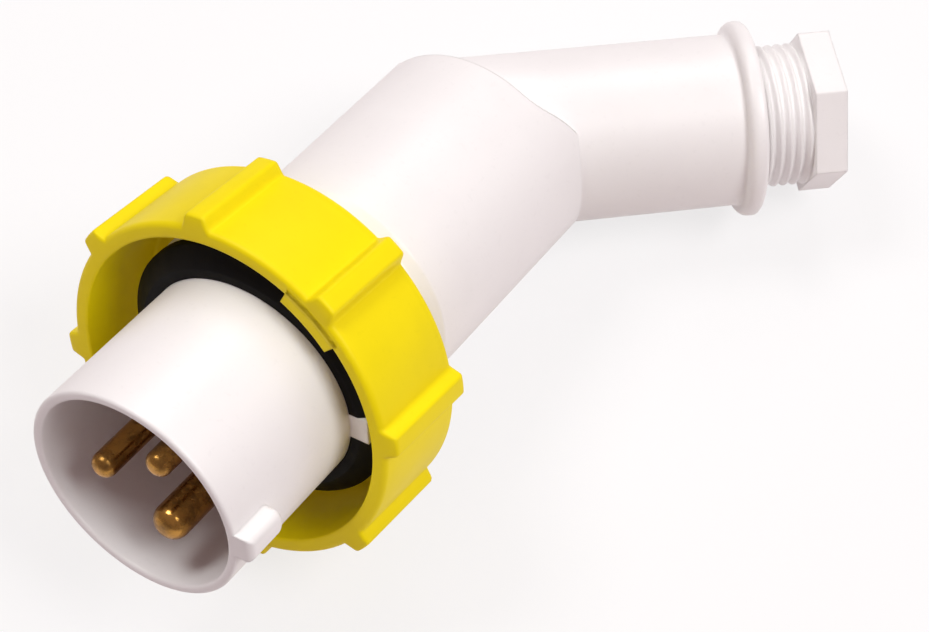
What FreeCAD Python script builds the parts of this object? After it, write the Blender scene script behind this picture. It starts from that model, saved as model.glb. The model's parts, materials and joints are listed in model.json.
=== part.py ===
# Angled watertight plug: three round pins in a keyed sleeve, a loose bayonet coupling ring,
# an elbow housing and a hexagonal gland screw, lying on its side as it comes to rest.
# Lengths are in millimetres and angles in degrees.
#
# The plug's own axes: the main axis runs along +Y from the centre of the mouth towards the
# elbow, the tail bends towards +X, and Z stands on the plane of the bend. Pieces on the tail
# are drawn along their own +Y, measured from the elbow point, and are then turned and moved.
import FreeCAD, Part
import Sketcher
import math
import os
import re

Vector = FreeCAD.Vector
Rotation = FreeCAD.Rotation
Placement = FreeCAD.Placement

SIZES = {
    # front shell: sleeve, key, floor and flange
    "sleeve_radius": 22.0,
    "sleeve_wall": 1.85,
    "mouth_chamfer": 0.5,
    "pin_recess": 1.4,
    "pin_reach": 37.6,
    "floor_thickness": 6.0,
    "floor_setback": 1.0,
    "flange_ledge": 4.8,
    "flange_thickness": 3.0,
    "spigot_inset": 1.2,
    "spigot_overrun": 1.5,
    "spigot_wall": 2.2,
    "key_length": 9.5,
    "key_width": 5.2,
    "key_height": 3.4,
    "key_rounding": 2.0,
    "tab_width": 5.5,
    "tab_setback": 0.9,
    # face gasket
    "gasket_lip": 0.9,
    "gasket_land": 2.0,
    "gasket_drop": 2.75,
    "gasket_depth": 4.75,
    "soft_gap": 0.05,
    # seal between the front shell and the housing
    "seal_section": 0.95,
    "seal_groove": 2.2,
    "seal_setback": 1.4,
    # elbow housing
    "rim_thickness": 4.5,
    "body_step": 1.7,
    "neck_inset": 1.4,
    "neck_reach": 8.2,
    "neck_slope": 2.0,
    "body_overrun": -5.6,
    "shoulder_start": 14.6,
    "housing_wall": 2.6,
    "body_reach": 51.9,
    "bend": 50.0,
    "tail_inset": 6.1,
    "tail_taper": 0.3,
    "tail_back": 24.0,
    "grommet_step": 2.8,
    "tail_bore_back": 12.0,
    "collar_start": 49.5,
    "collar_width": 4.2,
    "collar_height": 2.4,
    "collar_foot": 0.5,
    "collar_slope": 0.5,
    "collar_land": 1.0,
    "collar_rear_rounding": 1.2,
    # gland: grommet, washer and pressure screw
    "thread_cover": 3.0,
    "thread_gap": 0.05,
    "thread_pitch": 2.0,
    "screw_backed_out": 10.0,
    "screw_shank": 16.0,
    "hex_length": 6.4,
    "hex_step": 2.4,
    "hex_turn": 50.5,
    "hex_chamfer": 1.0,
    "screw_wall": 6.55,
    "washer_thickness": 1.2,
    "washer_gap": 0.35,
    "washer_bore_gap": 0.4,
    "grommet_gap": 0.1,
    "grommet_setback": 29.7,
    "grommet_length": 15.4,
    "grommet_wall": 4.5,
    "seat_slope": 2.2,
    # coupling ring
    "ring_overlap": 11.8,
    "ring_width": 21.9,
    "ring_play": 4.2,
    "ring_wall": 3.1,
    "ring_rounding": 0.8,
    "lip_thickness": 2.5,
    "lip_gap": 0.3,
    "rib_count": 8,
    "rib_height": 2.5,
    "rib_base": 6.4,
    "rib_shoulder": 5.0,
    "rib_crest": 2.8,
    "lug_height": 2.4,
    "lug_length": 3.2,
    "lug_span": 22.0,
    "lug_count": 2,
    "ring_phase": 53.0,
    "ring_drift_side": 2.6,
    "ring_drift_down": 1.5,
    "ring_cant": 5.1,
    # pins and terminals
    "pin_circle": 8.75,
    "phase_pin_radius": 2.5,
    "earth_pin_radius": 3.5,
    "pin_step": 0.3,
    "pin_hole_gap": 0.05,
    "pin_tip_share": 0.8,
    "pin_collar": 1.7,
    "pin_collar_thickness": 2.0,
    "barrel_wall": 2.1,
    "barrel_setback": 1.0,
    "barrel_length": 13.0,
    "wire_bore": 2.1,
    "wire_depth": 10.0,
    "terminal_screw_radius": 1.5,
    "terminal_screw_setback": 6.5,
    "terminal_head_radius": 2.6,
    "terminal_head_height": 2.0,
    "first_phase_angle": 180.0,
    "second_phase_angle": 60.0,
    "earth_angle": 300.0,
    # pin retainer
    "retainer_gap": 0.3,
    "retainer_thickness": 4.0,
    "barrier_gap": 1.1,
    "barrier_thickness": 1.6,
    "barrier_length": 12.0,
    # screws
    "retainer_screw_inset": 4.9,
    "retainer_screw_radius": 1.3,
    "retainer_screw_depth": 4.0,
    "retainer_head_radius": 2.3,
    "retainer_head_height": 1.7,
    "housing_screw_inset": 2.4,
    "housing_screw_radius": 1.25,
    "housing_screw_depth": 4.0,
    "housing_head_radius": 2.1,
    "housing_head_height": 1.5,
    "screw_gap": 0.04,
    "slot_width": 0.7,
    "slot_depth": 0.8,
    "screw_count": 3,
    # how far a cutting shape runs past what it cuts
    "overcut": 1.0,
}

# Radii and places along an axis, each worked out from the sizes above
PLACES = {
    "flange_radius": "sleeve_radius + flange_ledge",
    "spigot_radius": "sleeve_radius - spigot_inset",
    "gasket_radius": "flange_radius + gasket_lip",
    "gasket_flat": "sleeve_radius + gasket_land",
    "body_radius": "sleeve_radius + body_step",
    "neck_radius": "body_radius - neck_inset",
    "tail_root_radius": "body_radius - tail_inset",
    "tail_end_radius": "tail_root_radius - tail_taper",
    "collar_radius": "tail_end_radius + collar_height",
    "thread_radius": "tail_end_radius - thread_cover",
    "hex_corner_radius": "thread_radius + hex_step",
    "tail_bore": "thread_radius - grommet_step",
    "grommet_bore": "tail_bore - grommet_wall",
    "cord_bore": "thread_radius - screw_wall",
    "washer_bore": "cord_bore + washer_bore_gap",
    "ring_bore": "gasket_radius + ring_play",
    "ring_radius": "ring_bore + ring_wall",
    "retainer_radius": "spigot_radius - spigot_wall - retainer_gap",
    "retainer_screw_circle": "retainer_radius - retainer_screw_inset",
    "barrier_reach": "retainer_screw_circle - retainer_head_radius - barrier_gap",
    "housing_screw_circle": "flange_radius - housing_screw_inset",
    "collar_end": "collar_start + collar_width",
    "collar_rear": "collar_end - collar_slope",
    "collar_front_rounding": "collar_height - collar_foot",
    "collar_mouth": "thread_bore + collar_land",
    "grommet_seat": "collar_end - grommet_setback",
    "ring_front": "flange_back - ring_overlap",
    "neck_end": "ring_back + neck_reach",
    "elbow_centre": "neck_end + neck_slope + body_reach",
    "body_end": "elbow_centre + body_overrun",
    "shoulder_top": "body_end + (body_radius - shoulder_start) / tan(bend)",
    "shoulder_rise": "overcut / tan(bend)",
    "barrel_start": "retainer_back + barrel_setback",
    "sleeve_bore": "sleeve_radius - sleeve_wall",
    "floor_front": "pin_recess + pin_reach",
    "floor_back": "floor_front + floor_thickness",
    "flange_front": "floor_front - floor_setback",
    "sleeve_reach": "flange_front - gasket_depth",
    "flange_back": "flange_front + flange_thickness",
    "spigot_end": "floor_back + spigot_overrun",
    "seal_front": "flange_back + seal_setback",
    "seal_back": "seal_front + seal_groove",
    "seal_middle": "(seal_front + seal_back) / 2",
    "spigot_bore": "spigot_radius + 4 * soft_gap",
    "seal_centre_radius": "spigot_bore - soft_gap - seal_section",
    "groove_radius": "seal_centre_radius - seal_section - soft_gap",
    "rim_back": "flange_back + rim_thickness",
    "neck_bore": "neck_radius - housing_wall",
    "body_bore": "body_radius - housing_wall",
    "cavity_end": "body_end - housing_wall",
    "thread_bore": "thread_radius + thread_gap",
    "hex_front": "collar_end + screw_backed_out",
    "hex_back": "hex_front + hex_length",
    "shank_front": "hex_front - screw_shank",
    "washer_front": "shank_front - washer_thickness",
    "washer_radius": "thread_bore - washer_gap",
    "seat_end": "grommet_seat + seat_slope",
    "grommet_front": "grommet_seat + grommet_gap",
    "grommet_radius": "thread_bore - grommet_gap",
    "ring_back": "ring_front + ring_width",
    "lip_front": "ring_back - lip_thickness",
    "rim_drift_down": "ring_drift_down + (rim_back - ring_front) * sin(ring_cant)",
    "rim_drift": "sqrt(ring_drift_side ^ 2 + rim_drift_down ^ 2)",
    "rim_radius": "ring_bore - rim_drift - lip_gap",
    "lip_drift_down": "ring_drift_down + ring_width * sin(ring_cant)",
    "lip_drift": "sqrt(ring_drift_side ^ 2 + lip_drift_down ^ 2)",
    "lip_radius": "neck_radius + lip_drift + lip_gap",
    "retainer_back": "floor_back + retainer_thickness",
    "barrel_end": "barrel_start + barrel_length",
    "head_recess_radius": "housing_head_radius + 2 * screw_gap",
}

doc = FreeCAD.newDocument("WatertightPlug")
sheet = doc.addObject("Spreadsheet::Sheet", "Sizes")
for row, (alias, value) in enumerate(SIZES.items(), 1):
    sheet.set(f"A{row}", alias)
    sheet.set(f"B{row}", str(value))
    sheet.setAlias(f"B{row}", alias)
doc.recompute()

WORD = re.compile(r"[a-z_]+")


def bound(text):
    """Write out the places in a formula and point every size in it at the sheet."""
    def swap(match):
        word = match.group(0)
        if word in PLACES:
            return "(" + bound(PLACES[word]) + ")"
        if word in SIZES:
            return "Sizes." + word
        return word
    return WORD.sub(swap, text)


def number(text):
    """Value of a formula on the sheet's sizes."""
    return float(sheet.evalExpression(bound(text)))


# Drawing helpers

def new_body(name):
    return doc.addObject("PartDesign::Body", name)


def origin_part(body, role):
    return next(item for item in body.Origin.OriginFeatures if item.Role == role)


def new_sketch(body, name, plane="XY_Plane"):
    sketch = body.newObject("Sketcher::SketchObject", name)
    sketch.AttachmentSupport = [(origin_part(body, plane), "")]
    sketch.MapMode = "FlatFace"
    return sketch


def hold(sketch, direction, formula, geometry, point):
    """Tie one coordinate of a sketch point to a formula."""
    if formula == "0":
        axis = -2 if direction == "X" else -1
        sketch.addConstraint(Sketcher.Constraint("PointOnObject", geometry, point, axis))
        return
    rule = Sketcher.Constraint("Distance" + direction, -1, 1, geometry, point, number(formula))
    index = sketch.addConstraint(rule)
    sketch.setExpression(f"Constraints[{index}]", bound(formula))


def outline(sketch, corners):
    """Closed outline of straight sides, with both coordinates of each corner held."""
    points = [Vector(number(across), number(along), 0) for across, along in corners]
    for index, start in enumerate(points):
        end = points[(index + 1) % len(points)]
        sketch.addGeometry(Part.LineSegment(start, end), False)
    for index, (across, along) in enumerate(corners):
        following = (index + 1) % len(corners)
        sketch.addConstraint(Sketcher.Constraint("Coincident", index, 2, following, 1))
        hold(sketch, "X", across, index, 1)
        hold(sketch, "Y", along, index, 1)


def circle(sketch, across, along, radius):
    centre = Vector(number(across), number(along), 0)
    index = sketch.addGeometry(Part.Circle(centre, Vector(0, 0, 1), number(radius)), False)
    hold(sketch, "X", across, index, 3)
    hold(sketch, "Y", along, index, 3)
    rule = sketch.addConstraint(Sketcher.Constraint("Radius", index, number(radius)))
    sketch.setExpression(f"Constraints[{rule}]", bound(radius))


def finish(body, feature):
    """Make a feature the body's last one and stop at once if it failed."""
    body.Tip = feature
    doc.recompute()
    if feature.Shape.isNull() or not feature.isValid():
        raise RuntimeError(f"{body.Name}: {feature.Name} failed")
    return feature


def spin(body, name, corners, cut=False, angle="360"):
    """Revolve an outline, drawn as radius and height, about the body's own Y axis."""
    sketch = new_sketch(body, name + "_outline")
    outline(sketch, corners)
    return spin_sketch(body, name, sketch, cut, angle)


def spin_sketch(body, name, sketch, cut=False, angle="360"):
    before = body.Shape.Volume if cut else 0
    feature = body.newObject("PartDesign::Groove" if cut else "PartDesign::Revolution", name)
    feature.Profile = sketch
    feature.ReferenceAxis = (sketch, ["V_Axis"])
    feature.Midplane = angle != "360"
    feature.setExpression("Angle", bound(angle))
    finish(body, feature)
    if cut and not feature.Shape.Volume < before:
        raise RuntimeError(f"{body.Name}: {name} removes nothing")
    return feature


def cross_sketch(body, name, height):
    """Sketch across the body's Y axis at a height on it, with X and Z as its own axes."""
    sketch = new_sketch(body, name, "XZ_Plane")
    sketch.AttachmentOffset = Placement(Vector(0, 0, -number(height)), Rotation())
    sketch.setExpression(".AttachmentOffset.Base.z", bound(f"-({height})"))
    return sketch


def raise_up(body, name, sketch, length):
    """Pad a cross sketch towards +Y."""
    feature = body.newObject("PartDesign::Pad", name)
    feature.Profile = sketch
    feature.setExpression("Length", bound(length))
    feature.Reversed = True
    return finish(body, feature)


def sink(body, name, sketch, length):
    """Pocket a cross sketch towards +Y."""
    before = body.Shape.Volume
    feature = body.newObject("PartDesign::Pocket", name)
    feature.Profile = sketch
    feature.setExpression("Length", bound(length))
    finish(body, feature)
    if not feature.Shape.Volume < before:
        raise RuntimeError(f"{body.Name}: {name} removes nothing")
    return feature


def repeat(body, name, feature, count):
    """Repeat a feature evenly about the body's Y axis."""
    pattern = body.newObject("PartDesign::PolarPattern", name)
    pattern.Originals = [feature]
    pattern.Axis = (origin_part(body, "Y_Axis"), [""])
    pattern.Angle = 360
    pattern.setExpression("Occurrences", bound(count))
    return finish(body, pattern)


def rounded(body, name, radius, chosen, kind="Fillet"):
    """Round or chamfer the edges of the last feature that a test picks."""
    base = body.Tip
    names = [f"Edge{index}" for index, edge in enumerate(base.Shape.Edges, 1) if chosen(edge)]
    if not names:
        raise RuntimeError(f"{body.Name}: {name} finds no edge")
    feature = body.newObject("PartDesign::" + kind, name)
    feature.Base = (base, names)
    feature.setExpression("Radius" if kind == "Fillet" else "Size", bound(radius))
    return finish(body, feature)


def is_hoop(edge, radius, height):
    """Is the edge a circle or an arc of this radius about Y, at this height on it?"""
    if not isinstance(edge.Curve, Part.Circle):
        return False
    near = 0.01
    centre = edge.Curve.Center
    on_axis = math.hypot(centre.x, centre.z) < near and abs(centre.y - height) < near
    return on_axis and abs(edge.Curve.Radius - radius) < near


def spot(circle_radius, angle):
    """Formulas for the X and Z of a place on a circle about the main axis."""
    return f"{circle_radius} * cos({angle})", f"{circle_radius} * sin({angle})"


# Front shell

def front_shell():
    body = new_body("front_shell")
    spin(body, "shell", [
        ("sleeve_bore + mouth_chamfer", "0"),
        ("sleeve_radius - mouth_chamfer", "0"),
        ("sleeve_radius", "mouth_chamfer"),
        ("sleeve_radius", "flange_front"),
        ("flange_radius", "flange_front"),
        ("flange_radius", "flange_back"),
        ("spigot_radius", "flange_back"),
        ("spigot_radius", "spigot_end"),
        ("spigot_radius - spigot_wall", "spigot_end"),
        ("spigot_radius - spigot_wall", "floor_back"),
        ("0", "floor_back"),
        ("0", "floor_front"),
        ("sleeve_bore", "floor_front"),
        ("sleeve_bore", "mouth_chamfer"),
    ])
    spin(body, "seal_channel", [
        ("groove_radius", "seal_front"),
        ("spigot_radius + soft_gap", "seal_front"),
        ("spigot_radius + soft_gap", "seal_back"),
        ("groove_radius", "seal_back"),
    ], cut=True)

    key = cross_sketch(body, "key_outline", "0")
    outline(key, [
        ("sleeve_radius - sleeve_wall / 2", "-key_width / 2"),
        ("sleeve_radius + key_height", "-key_width / 2"),
        ("sleeve_radius + key_height", "key_width / 2"),
        ("sleeve_radius - sleeve_wall / 2", "key_width / 2"),
    ])
    raise_up(body, "key", key, "key_length")
    crest = number("sleeve_radius + key_height")
    rounded(body, "key_crest", "key_rounding", lambda edge: (
        edge.BoundBox.XMin > crest - 0.01 and edge.BoundBox.YLength > number("key_length / 2")))

    tab = cross_sketch(body, "tab_outline", "sleeve_reach")
    outline(tab, [
        ("sleeve_radius - sleeve_wall / 2", "-tab_width / 2"),
        ("flange_radius - tab_setback", "-tab_width / 2"),
        ("flange_radius - tab_setback", "tab_width / 2"),
        ("sleeve_radius - sleeve_wall / 2", "tab_width / 2"),
    ])
    raise_up(body, "gasket_tab", tab, "gasket_depth + flange_thickness / 2")

    for angle, pin_radius in (("first_phase_angle", "phase_pin_radius"),
                              ("second_phase_angle", "phase_pin_radius"),
                              ("earth_angle", "earth_pin_radius")):
        hole = cross_sketch(body, f"hole_outline_{angle}", "floor_front - overcut")
        circle(hole, *spot("pin_circle", angle), pin_radius + " + pin_step + pin_hole_gap")
        sink(body, f"hole_{angle}", hole, "floor_thickness + 2 * overcut")
        seat = cross_sketch(body, f"seat_outline_{angle}", "floor_back - pin_collar_thickness")
        circle(seat, *spot("pin_circle", angle), pin_radius + " + pin_collar + pin_hole_gap")
        sink(body, f"seat_{angle}", seat, "pin_collar_thickness + overcut")

    pilot = cross_sketch(body, "pilot_outline", "floor_back - retainer_screw_depth")
    circle(pilot, "retainer_screw_circle", "0", "retainer_screw_radius + screw_gap")
    sink(body, "pilot", pilot, "retainer_screw_depth + overcut")
    repeat(body, "pilots", body.Tip, "screw_count")

    through = cross_sketch(body, "through_outline", "flange_front - overcut")
    circle(through, "-housing_screw_circle", "0", "housing_screw_radius + screw_gap")
    sink(body, "through", through, "flange_thickness + 2 * overcut")
    repeat(body, "throughs", body.Tip, "screw_count")
    recess = cross_sketch(body, "recess_outline", "flange_front - overcut")
    circle(recess, "-housing_screw_circle", "0", "head_recess_radius")
    sink(body, "recess", recess, "housing_head_height + overcut")
    repeat(body, "recesses", body.Tip, "screw_count")
    return body


def face_gasket():
    body = new_body("face_gasket")
    spin(body, "seal", [
        ("sleeve_radius + soft_gap", "sleeve_reach"),
        ("gasket_flat", "sleeve_reach"),
        ("gasket_radius", "sleeve_reach + gasket_drop"),
        ("gasket_radius", "flange_front"),
        ("sleeve_radius + soft_gap", "flange_front"),
    ])
    notch = cross_sketch(body, "notch_outline", "sleeve_reach - overcut")
    outline(notch, [
        ("sleeve_radius / 2", "-tab_width / 2 - soft_gap"),
        ("flange_radius", "-tab_width / 2 - soft_gap"),
        ("flange_radius", "tab_width / 2 + soft_gap"),
        ("sleeve_radius / 2", "tab_width / 2 + soft_gap"),
    ])
    sink(body, "notch", notch, "gasket_depth + 2 * overcut")
    return body


def housing_seal():
    body = new_body("housing_seal")
    section = new_sketch(body, "section")
    circle(section, "seal_centre_radius", "seal_middle", "seal_section")
    spin_sketch(body, "seal", section)
    return body


# Elbow housing

def tail_sketch(body, name):
    """Sketch in the plane of the bend whose Y axis is the tail's own axis."""
    sketch = new_sketch(body, name)
    turn = Rotation(Vector(0, 0, -1), number("bend"))
    sketch.AttachmentOffset = Placement(Vector(0, number("elbow_centre"), 0), turn)
    sketch.setExpression(".AttachmentOffset.Base.y", bound("elbow_centre"))
    sketch.setExpression(".AttachmentOffset.Rotation.Angle", bound("bend"))
    return sketch


def tail_hoop(edge, radius, height):
    """Is the edge a circle of this radius about the tail's axis, at this height on it?"""
    if not isinstance(edge.Curve, Part.Circle):
        return False
    near = 0.01
    centre = tail_frame().multVec(Vector(0, height, 0))
    return edge.Curve.Center.sub(centre).Length < near and abs(edge.Curve.Radius - radius) < near


def tail_frame():
    turn = Rotation(Vector(0, 0, -1), number("bend"))
    return Placement(Vector(0, number("elbow_centre"), 0), turn)


def elbow_housing():
    body = new_body("elbow_housing")
    spin(body, "main_body", [
        ("0", "flange_back"),
        ("rim_radius", "flange_back"),
        ("rim_radius", "rim_back"),
        ("neck_radius", "rim_back"),
        ("neck_radius", "neck_end"),
        ("body_radius", "neck_end + neck_slope"),
        ("body_radius", "shoulder_top"),
        ("0", "shoulder_top"),
    ])

    # The body ends flat outside the bend, and inside it the end climbs along the tail
    above = new_sketch(body, "above_outline")
    outline(above, [
        ("-body_radius - overcut", "body_end"),
        ("shoulder_start", "body_end"),
        ("body_radius + overcut", "shoulder_top + shoulder_rise"),
        ("body_radius + overcut", "shoulder_top + 2 * shoulder_rise"),
        ("-body_radius - overcut", "shoulder_top + 2 * shoulder_rise"),
    ])
    before = body.Shape.Volume
    end_cut = body.newObject("PartDesign::Pocket", "end_cut")
    end_cut.Profile = above
    end_cut.Midplane = True
    end_cut.setExpression("Length", bound("3 * body_radius"))
    finish(body, end_cut)
    if not end_cut.Shape.Volume < before:
        raise RuntimeError("elbow_housing: end_cut removes nothing")

    tail = tail_sketch(body, "tail_outline")
    outline(tail, [
        ("0", "-tail_back"),
        ("tail_root_radius", "-tail_back"),
        ("tail_end_radius", "collar_start"),
        ("collar_radius", "collar_start"),
        ("collar_radius", "collar_rear"),
        ("collar_mouth", "collar_end"),
        ("0", "collar_end"),
    ])
    spin_sketch(body, "tail", tail)
    rounded(body, "collar_rear_edge", "collar_rear_rounding", lambda edge: tail_hoop(
        edge, number("collar_radius"), number("collar_rear")))
    rounded(body, "collar_front_edge", "collar_front_rounding", lambda edge: tail_hoop(
        edge, number("collar_radius"), number("collar_start")))

    # What the tail would reach beyond the body's round side, outside the bend, is cut away
    spare = new_sketch(body, "spare_outline")
    outline(spare, [
        ("-body_radius", "neck_end + neck_slope"),
        ("-body_radius", "body_end + tail_root_radius"),
        ("-body_radius - 2 * tail_root_radius", "body_end + tail_root_radius"),
        ("-body_radius - 2 * tail_root_radius", "neck_end + neck_slope"),
    ])
    spin_sketch(body, "outer_trim", spare, cut=True, angle="170")

    spin(body, "cavity", [
        ("0", "flange_back - overcut"),
        ("spigot_bore", "flange_back - overcut"),
        ("spigot_bore", "spigot_end + screw_gap"),
        ("neck_bore", "spigot_end + screw_gap"),
        ("neck_bore", "neck_end + neck_slope"),
        ("body_bore", "neck_end + 2 * neck_slope"),
        ("body_bore", "cavity_end"),
        ("0", "cavity_end"),
    ], cut=True)
    bore = tail_sketch(body, "bore_outline")
    outline(bore, [
        ("0", "-tail_bore_back"),
        ("tail_bore", "-tail_bore_back"),
        ("tail_bore", "grommet_seat"),
        ("thread_bore", "seat_end"),
        ("thread_bore", "collar_end + overcut"),
        ("0", "collar_end + overcut"),
    ])
    spin_sketch(body, "tail_bore_cut", bore, cut=True)

    pilot = cross_sketch(body, "pilot_outline", "flange_back - overcut")
    circle(pilot, "-housing_screw_circle", "0", "housing_screw_radius + screw_gap")
    sink(body, "pilot", pilot, "rim_thickness + 2 * overcut")
    repeat(body, "pilots", body.Tip, "screw_count")
    return body


# Gland, drawn along the tail's axis from the elbow point

def gland_grommet():
    body = new_body("gland_grommet")
    spin(body, "sleeve", [
        ("grommet_bore", "grommet_front"),
        ("tail_bore", "grommet_front"),
        ("grommet_radius", "seat_end + grommet_gap"),
        ("grommet_radius", "grommet_front + grommet_length"),
        ("grommet_bore", "grommet_front + grommet_length"),
    ])
    return body


def gland_washer():
    body = new_body("gland_washer")
    spin(body, "washer", [
        ("washer_bore", "washer_front"),
        ("washer_radius", "washer_front"),
        ("washer_radius", "shank_front"),
        ("washer_bore", "shank_front"),
    ])
    return body


def gland_screw():
    body = new_body("gland_screw")
    spin(body, "shank", [
        ("cord_bore", "shank_front"),
        ("thread_radius - thread_pitch / 2", "shank_front"),
        ("thread_radius", "shank_front + thread_pitch / 2"),
        ("thread_radius", "hex_front"),
        ("cord_bore", "hex_front"),
    ])
    head = cross_sketch(body, "head_outline", "hex_front")
    outline(head, [
        spot("hex_corner_radius", f"hex_turn + {60 * corner}") for corner in range(6)
    ])
    raise_up(body, "head", head, "hex_length")
    bore = cross_sketch(body, "bore_outline", "hex_front - hex_length")
    circle(bore, "0", "0", "cord_bore")
    sink(body, "bore", bore, "3 * hex_length")
    rounded(body, "bore_mouth", "hex_chamfer", lambda edge: is_hoop(
        edge, number("cord_bore"), number("hex_back")))
    return body


# Coupling ring, drawn about its own axis

def coupling_ring():
    body = new_body("coupling_ring")
    spin(body, "ring", [
        ("ring_bore", "ring_front"),
        ("ring_radius", "ring_front"),
        ("ring_radius", "ring_back"),
        ("lip_radius", "ring_back"),
        ("lip_radius", "lip_front"),
        ("ring_bore", "lip_front"),
    ])
    for name, height in (("front_edge", "ring_front"), ("back_edge", "ring_back")):
        rounded(body, name, "ring_rounding", lambda edge: is_hoop(
            edge, number("ring_radius"), number(height)))

    rib = cross_sketch(body, "rib_outline", "ring_front")
    outline(rib, [
        ("ring_radius - ring_rounding", "-rib_base / 2"),
        ("ring_radius + rib_height / 2", "-rib_shoulder / 2"),
        ("ring_radius + rib_height", "-rib_crest / 2"),
        ("ring_radius + rib_height", "rib_crest / 2"),
        ("ring_radius + rib_height / 2", "rib_shoulder / 2"),
        ("ring_radius - ring_rounding", "rib_base / 2"),
    ])
    raise_up(body, "rib", rib, "ring_width")
    repeat(body, "ribs", body.Tip, "rib_count")

    spin(body, "lug", [
        ("ring_bore - lug_height", "ring_front"),
        ("ring_bore + (ring_radius - ring_bore) / 2", "ring_front"),
        ("ring_bore + (ring_radius - ring_bore) / 2", "ring_front + lug_length"),
        ("ring_bore - lug_height", "ring_front + lug_length"),
    ], angle="lug_span")
    repeat(body, "lugs", body.Tip, "lug_count")
    return body


# Pins, terminals and screws, each drawn about its own axis

def pin(name, radius):
    body = new_body(name)
    spin(body, "shank", [
        ("0", "pin_recess"),
        (radius, "pin_recess"),
        (radius, "floor_front"),
        (radius + " + pin_step", "floor_front"),
        (radius + " + pin_step", "floor_back - pin_collar_thickness"),
        (radius + " + pin_collar", "floor_back - pin_collar_thickness"),
        (radius + " + pin_collar", "floor_back"),
        (radius, "floor_back"),
        (radius, "barrel_start"),
        ("wire_bore + barrel_wall", "barrel_start"),
        ("wire_bore + barrel_wall", "barrel_end"),
        ("wire_bore", "barrel_end"),
        ("wire_bore", "barrel_end - wire_depth"),
        ("0", "barrel_end - wire_depth"),
    ])
    rounded(body, "tip", radius + " * pin_tip_share", lambda edge: is_hoop(
        edge, number(radius), number("pin_recess")))

    # The terminal screw enters the barrel from the side, along +X
    hole = new_sketch(body, "screw_hole_outline", "YZ_Plane")
    circle(hole, "barrel_end - terminal_screw_setback", "0", "terminal_screw_radius + screw_gap")
    before = body.Shape.Volume
    cut = body.newObject("PartDesign::Pocket", "screw_hole")
    cut.Profile = hole
    cut.Reversed = True
    cut.setExpression("Length", bound("wire_bore + 2 * barrel_wall"))
    finish(body, cut)
    if not cut.Shape.Volume < before:
        raise RuntimeError(f"{name}: the screw hole removes nothing")
    return body


def slotted_screw(name, shank_radius, shank_length, head_radius, head_height):
    """Screw along Y: the shank below its head's underside at 0, the slotted head above."""
    body = new_body(name)
    spin(body, "screw", [
        ("0", f"-({shank_length})"),
        (shank_radius, f"-({shank_length})"),
        (shank_radius, "0"),
        (head_radius, "0"),
        (head_radius, head_height),
        ("0", head_height),
    ])
    slot = cross_sketch(body, "slot_outline", f"{head_height} - slot_depth")
    outline(slot, [
        (f"-{head_radius} - overcut", "-slot_width / 2"),
        (f"{head_radius} + overcut", "-slot_width / 2"),
        (f"{head_radius} + overcut", "slot_width / 2"),
        (f"-{head_radius} - overcut", "slot_width / 2"),
    ])
    sink(body, "slot", slot, "slot_depth + overcut")
    return body


def pin_retainer():
    body = new_body("pin_retainer")
    spin(body, "plate", [
        ("0", "floor_back"),
        ("retainer_radius", "floor_back"),
        ("retainer_radius", "retainer_back"),
        ("0", "retainer_back"),
    ])
    barrier = cross_sketch(body, "barrier_outline", "retainer_back - overcut")
    outline(barrier, [
        ("0", "-barrier_thickness / 2"),
        ("barrier_reach", "-barrier_thickness / 2"),
        ("barrier_reach", "barrier_thickness / 2"),
        ("0", "barrier_thickness / 2"),
    ])
    raise_up(body, "barrier", barrier, "barrier_length + overcut")
    repeat(body, "barriers", body.Tip, "screw_count")
    for angle, pin_radius in (("first_phase_angle", "phase_pin_radius"),
                              ("second_phase_angle", "phase_pin_radius"),
                              ("earth_angle", "earth_pin_radius")):
        hole = cross_sketch(body, f"hole_outline_{angle}", "floor_back - overcut")
        circle(hole, *spot("pin_circle", angle), pin_radius + " + pin_hole_gap")
        sink(body, f"hole_{angle}", hole, "retainer_thickness + 2 * overcut")
    hole = cross_sketch(body, "screw_hole_outline", "floor_back - overcut")
    circle(hole, "retainer_screw_circle", "0", "retainer_screw_radius + screw_gap")
    sink(body, "screw_hole", hole, "retainer_thickness + 2 * overcut")
    repeat(body, "screw_holes", body.Tip, "screw_count")
    return body


# Places of the pieces in the plug's own axes

def at_angle(circle_radius, angle, height=0.0):
    """Move out from the main axis, with X turned to point outwards."""
    turn = Rotation(Vector(0, -1, 0), angle)
    return Placement(turn.multVec(Vector(circle_radius, 0, 0)) + Vector(0, height, 0), turn)


def ring_lean():
    """The loose ring hangs off the axis and canted, turned to where its ribs are seen."""
    middle = Vector(0, number("ring_front"), 0)
    drift = Vector(-number("ring_drift_side"), 0, -number("ring_drift_down"))
    cant = Rotation(Vector(-1, 0, 0), number("ring_cant"))
    phase = Rotation(Vector(0, -1, 0), number("ring_phase"))
    about_middle = Placement(middle + drift, cant * phase)
    return about_middle * Placement(-middle, Rotation())


def screw_pose(angle, circle_radius, height, head_towards):
    """Place a screw drawn along Y parallel to the main axis, head towards the mouth or not."""
    pose = at_angle(circle_radius, angle, height)
    if head_towards == "mouth":
        pose = pose * Placement(Vector(), Rotation(Vector(0, 0, 1), 180))
    return pose


def terminal_pose(angle):
    """The terminal screw stands on its barrel, with its head away from the main axis."""
    out = number("wire_bore + barrel_wall")
    height = number("barrel_end - terminal_screw_setback")
    across = Placement(Vector(out, height, 0), Rotation(Vector(0, 0, 1), -90))
    return at_angle(number("pin_circle"), angle) * across


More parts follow.
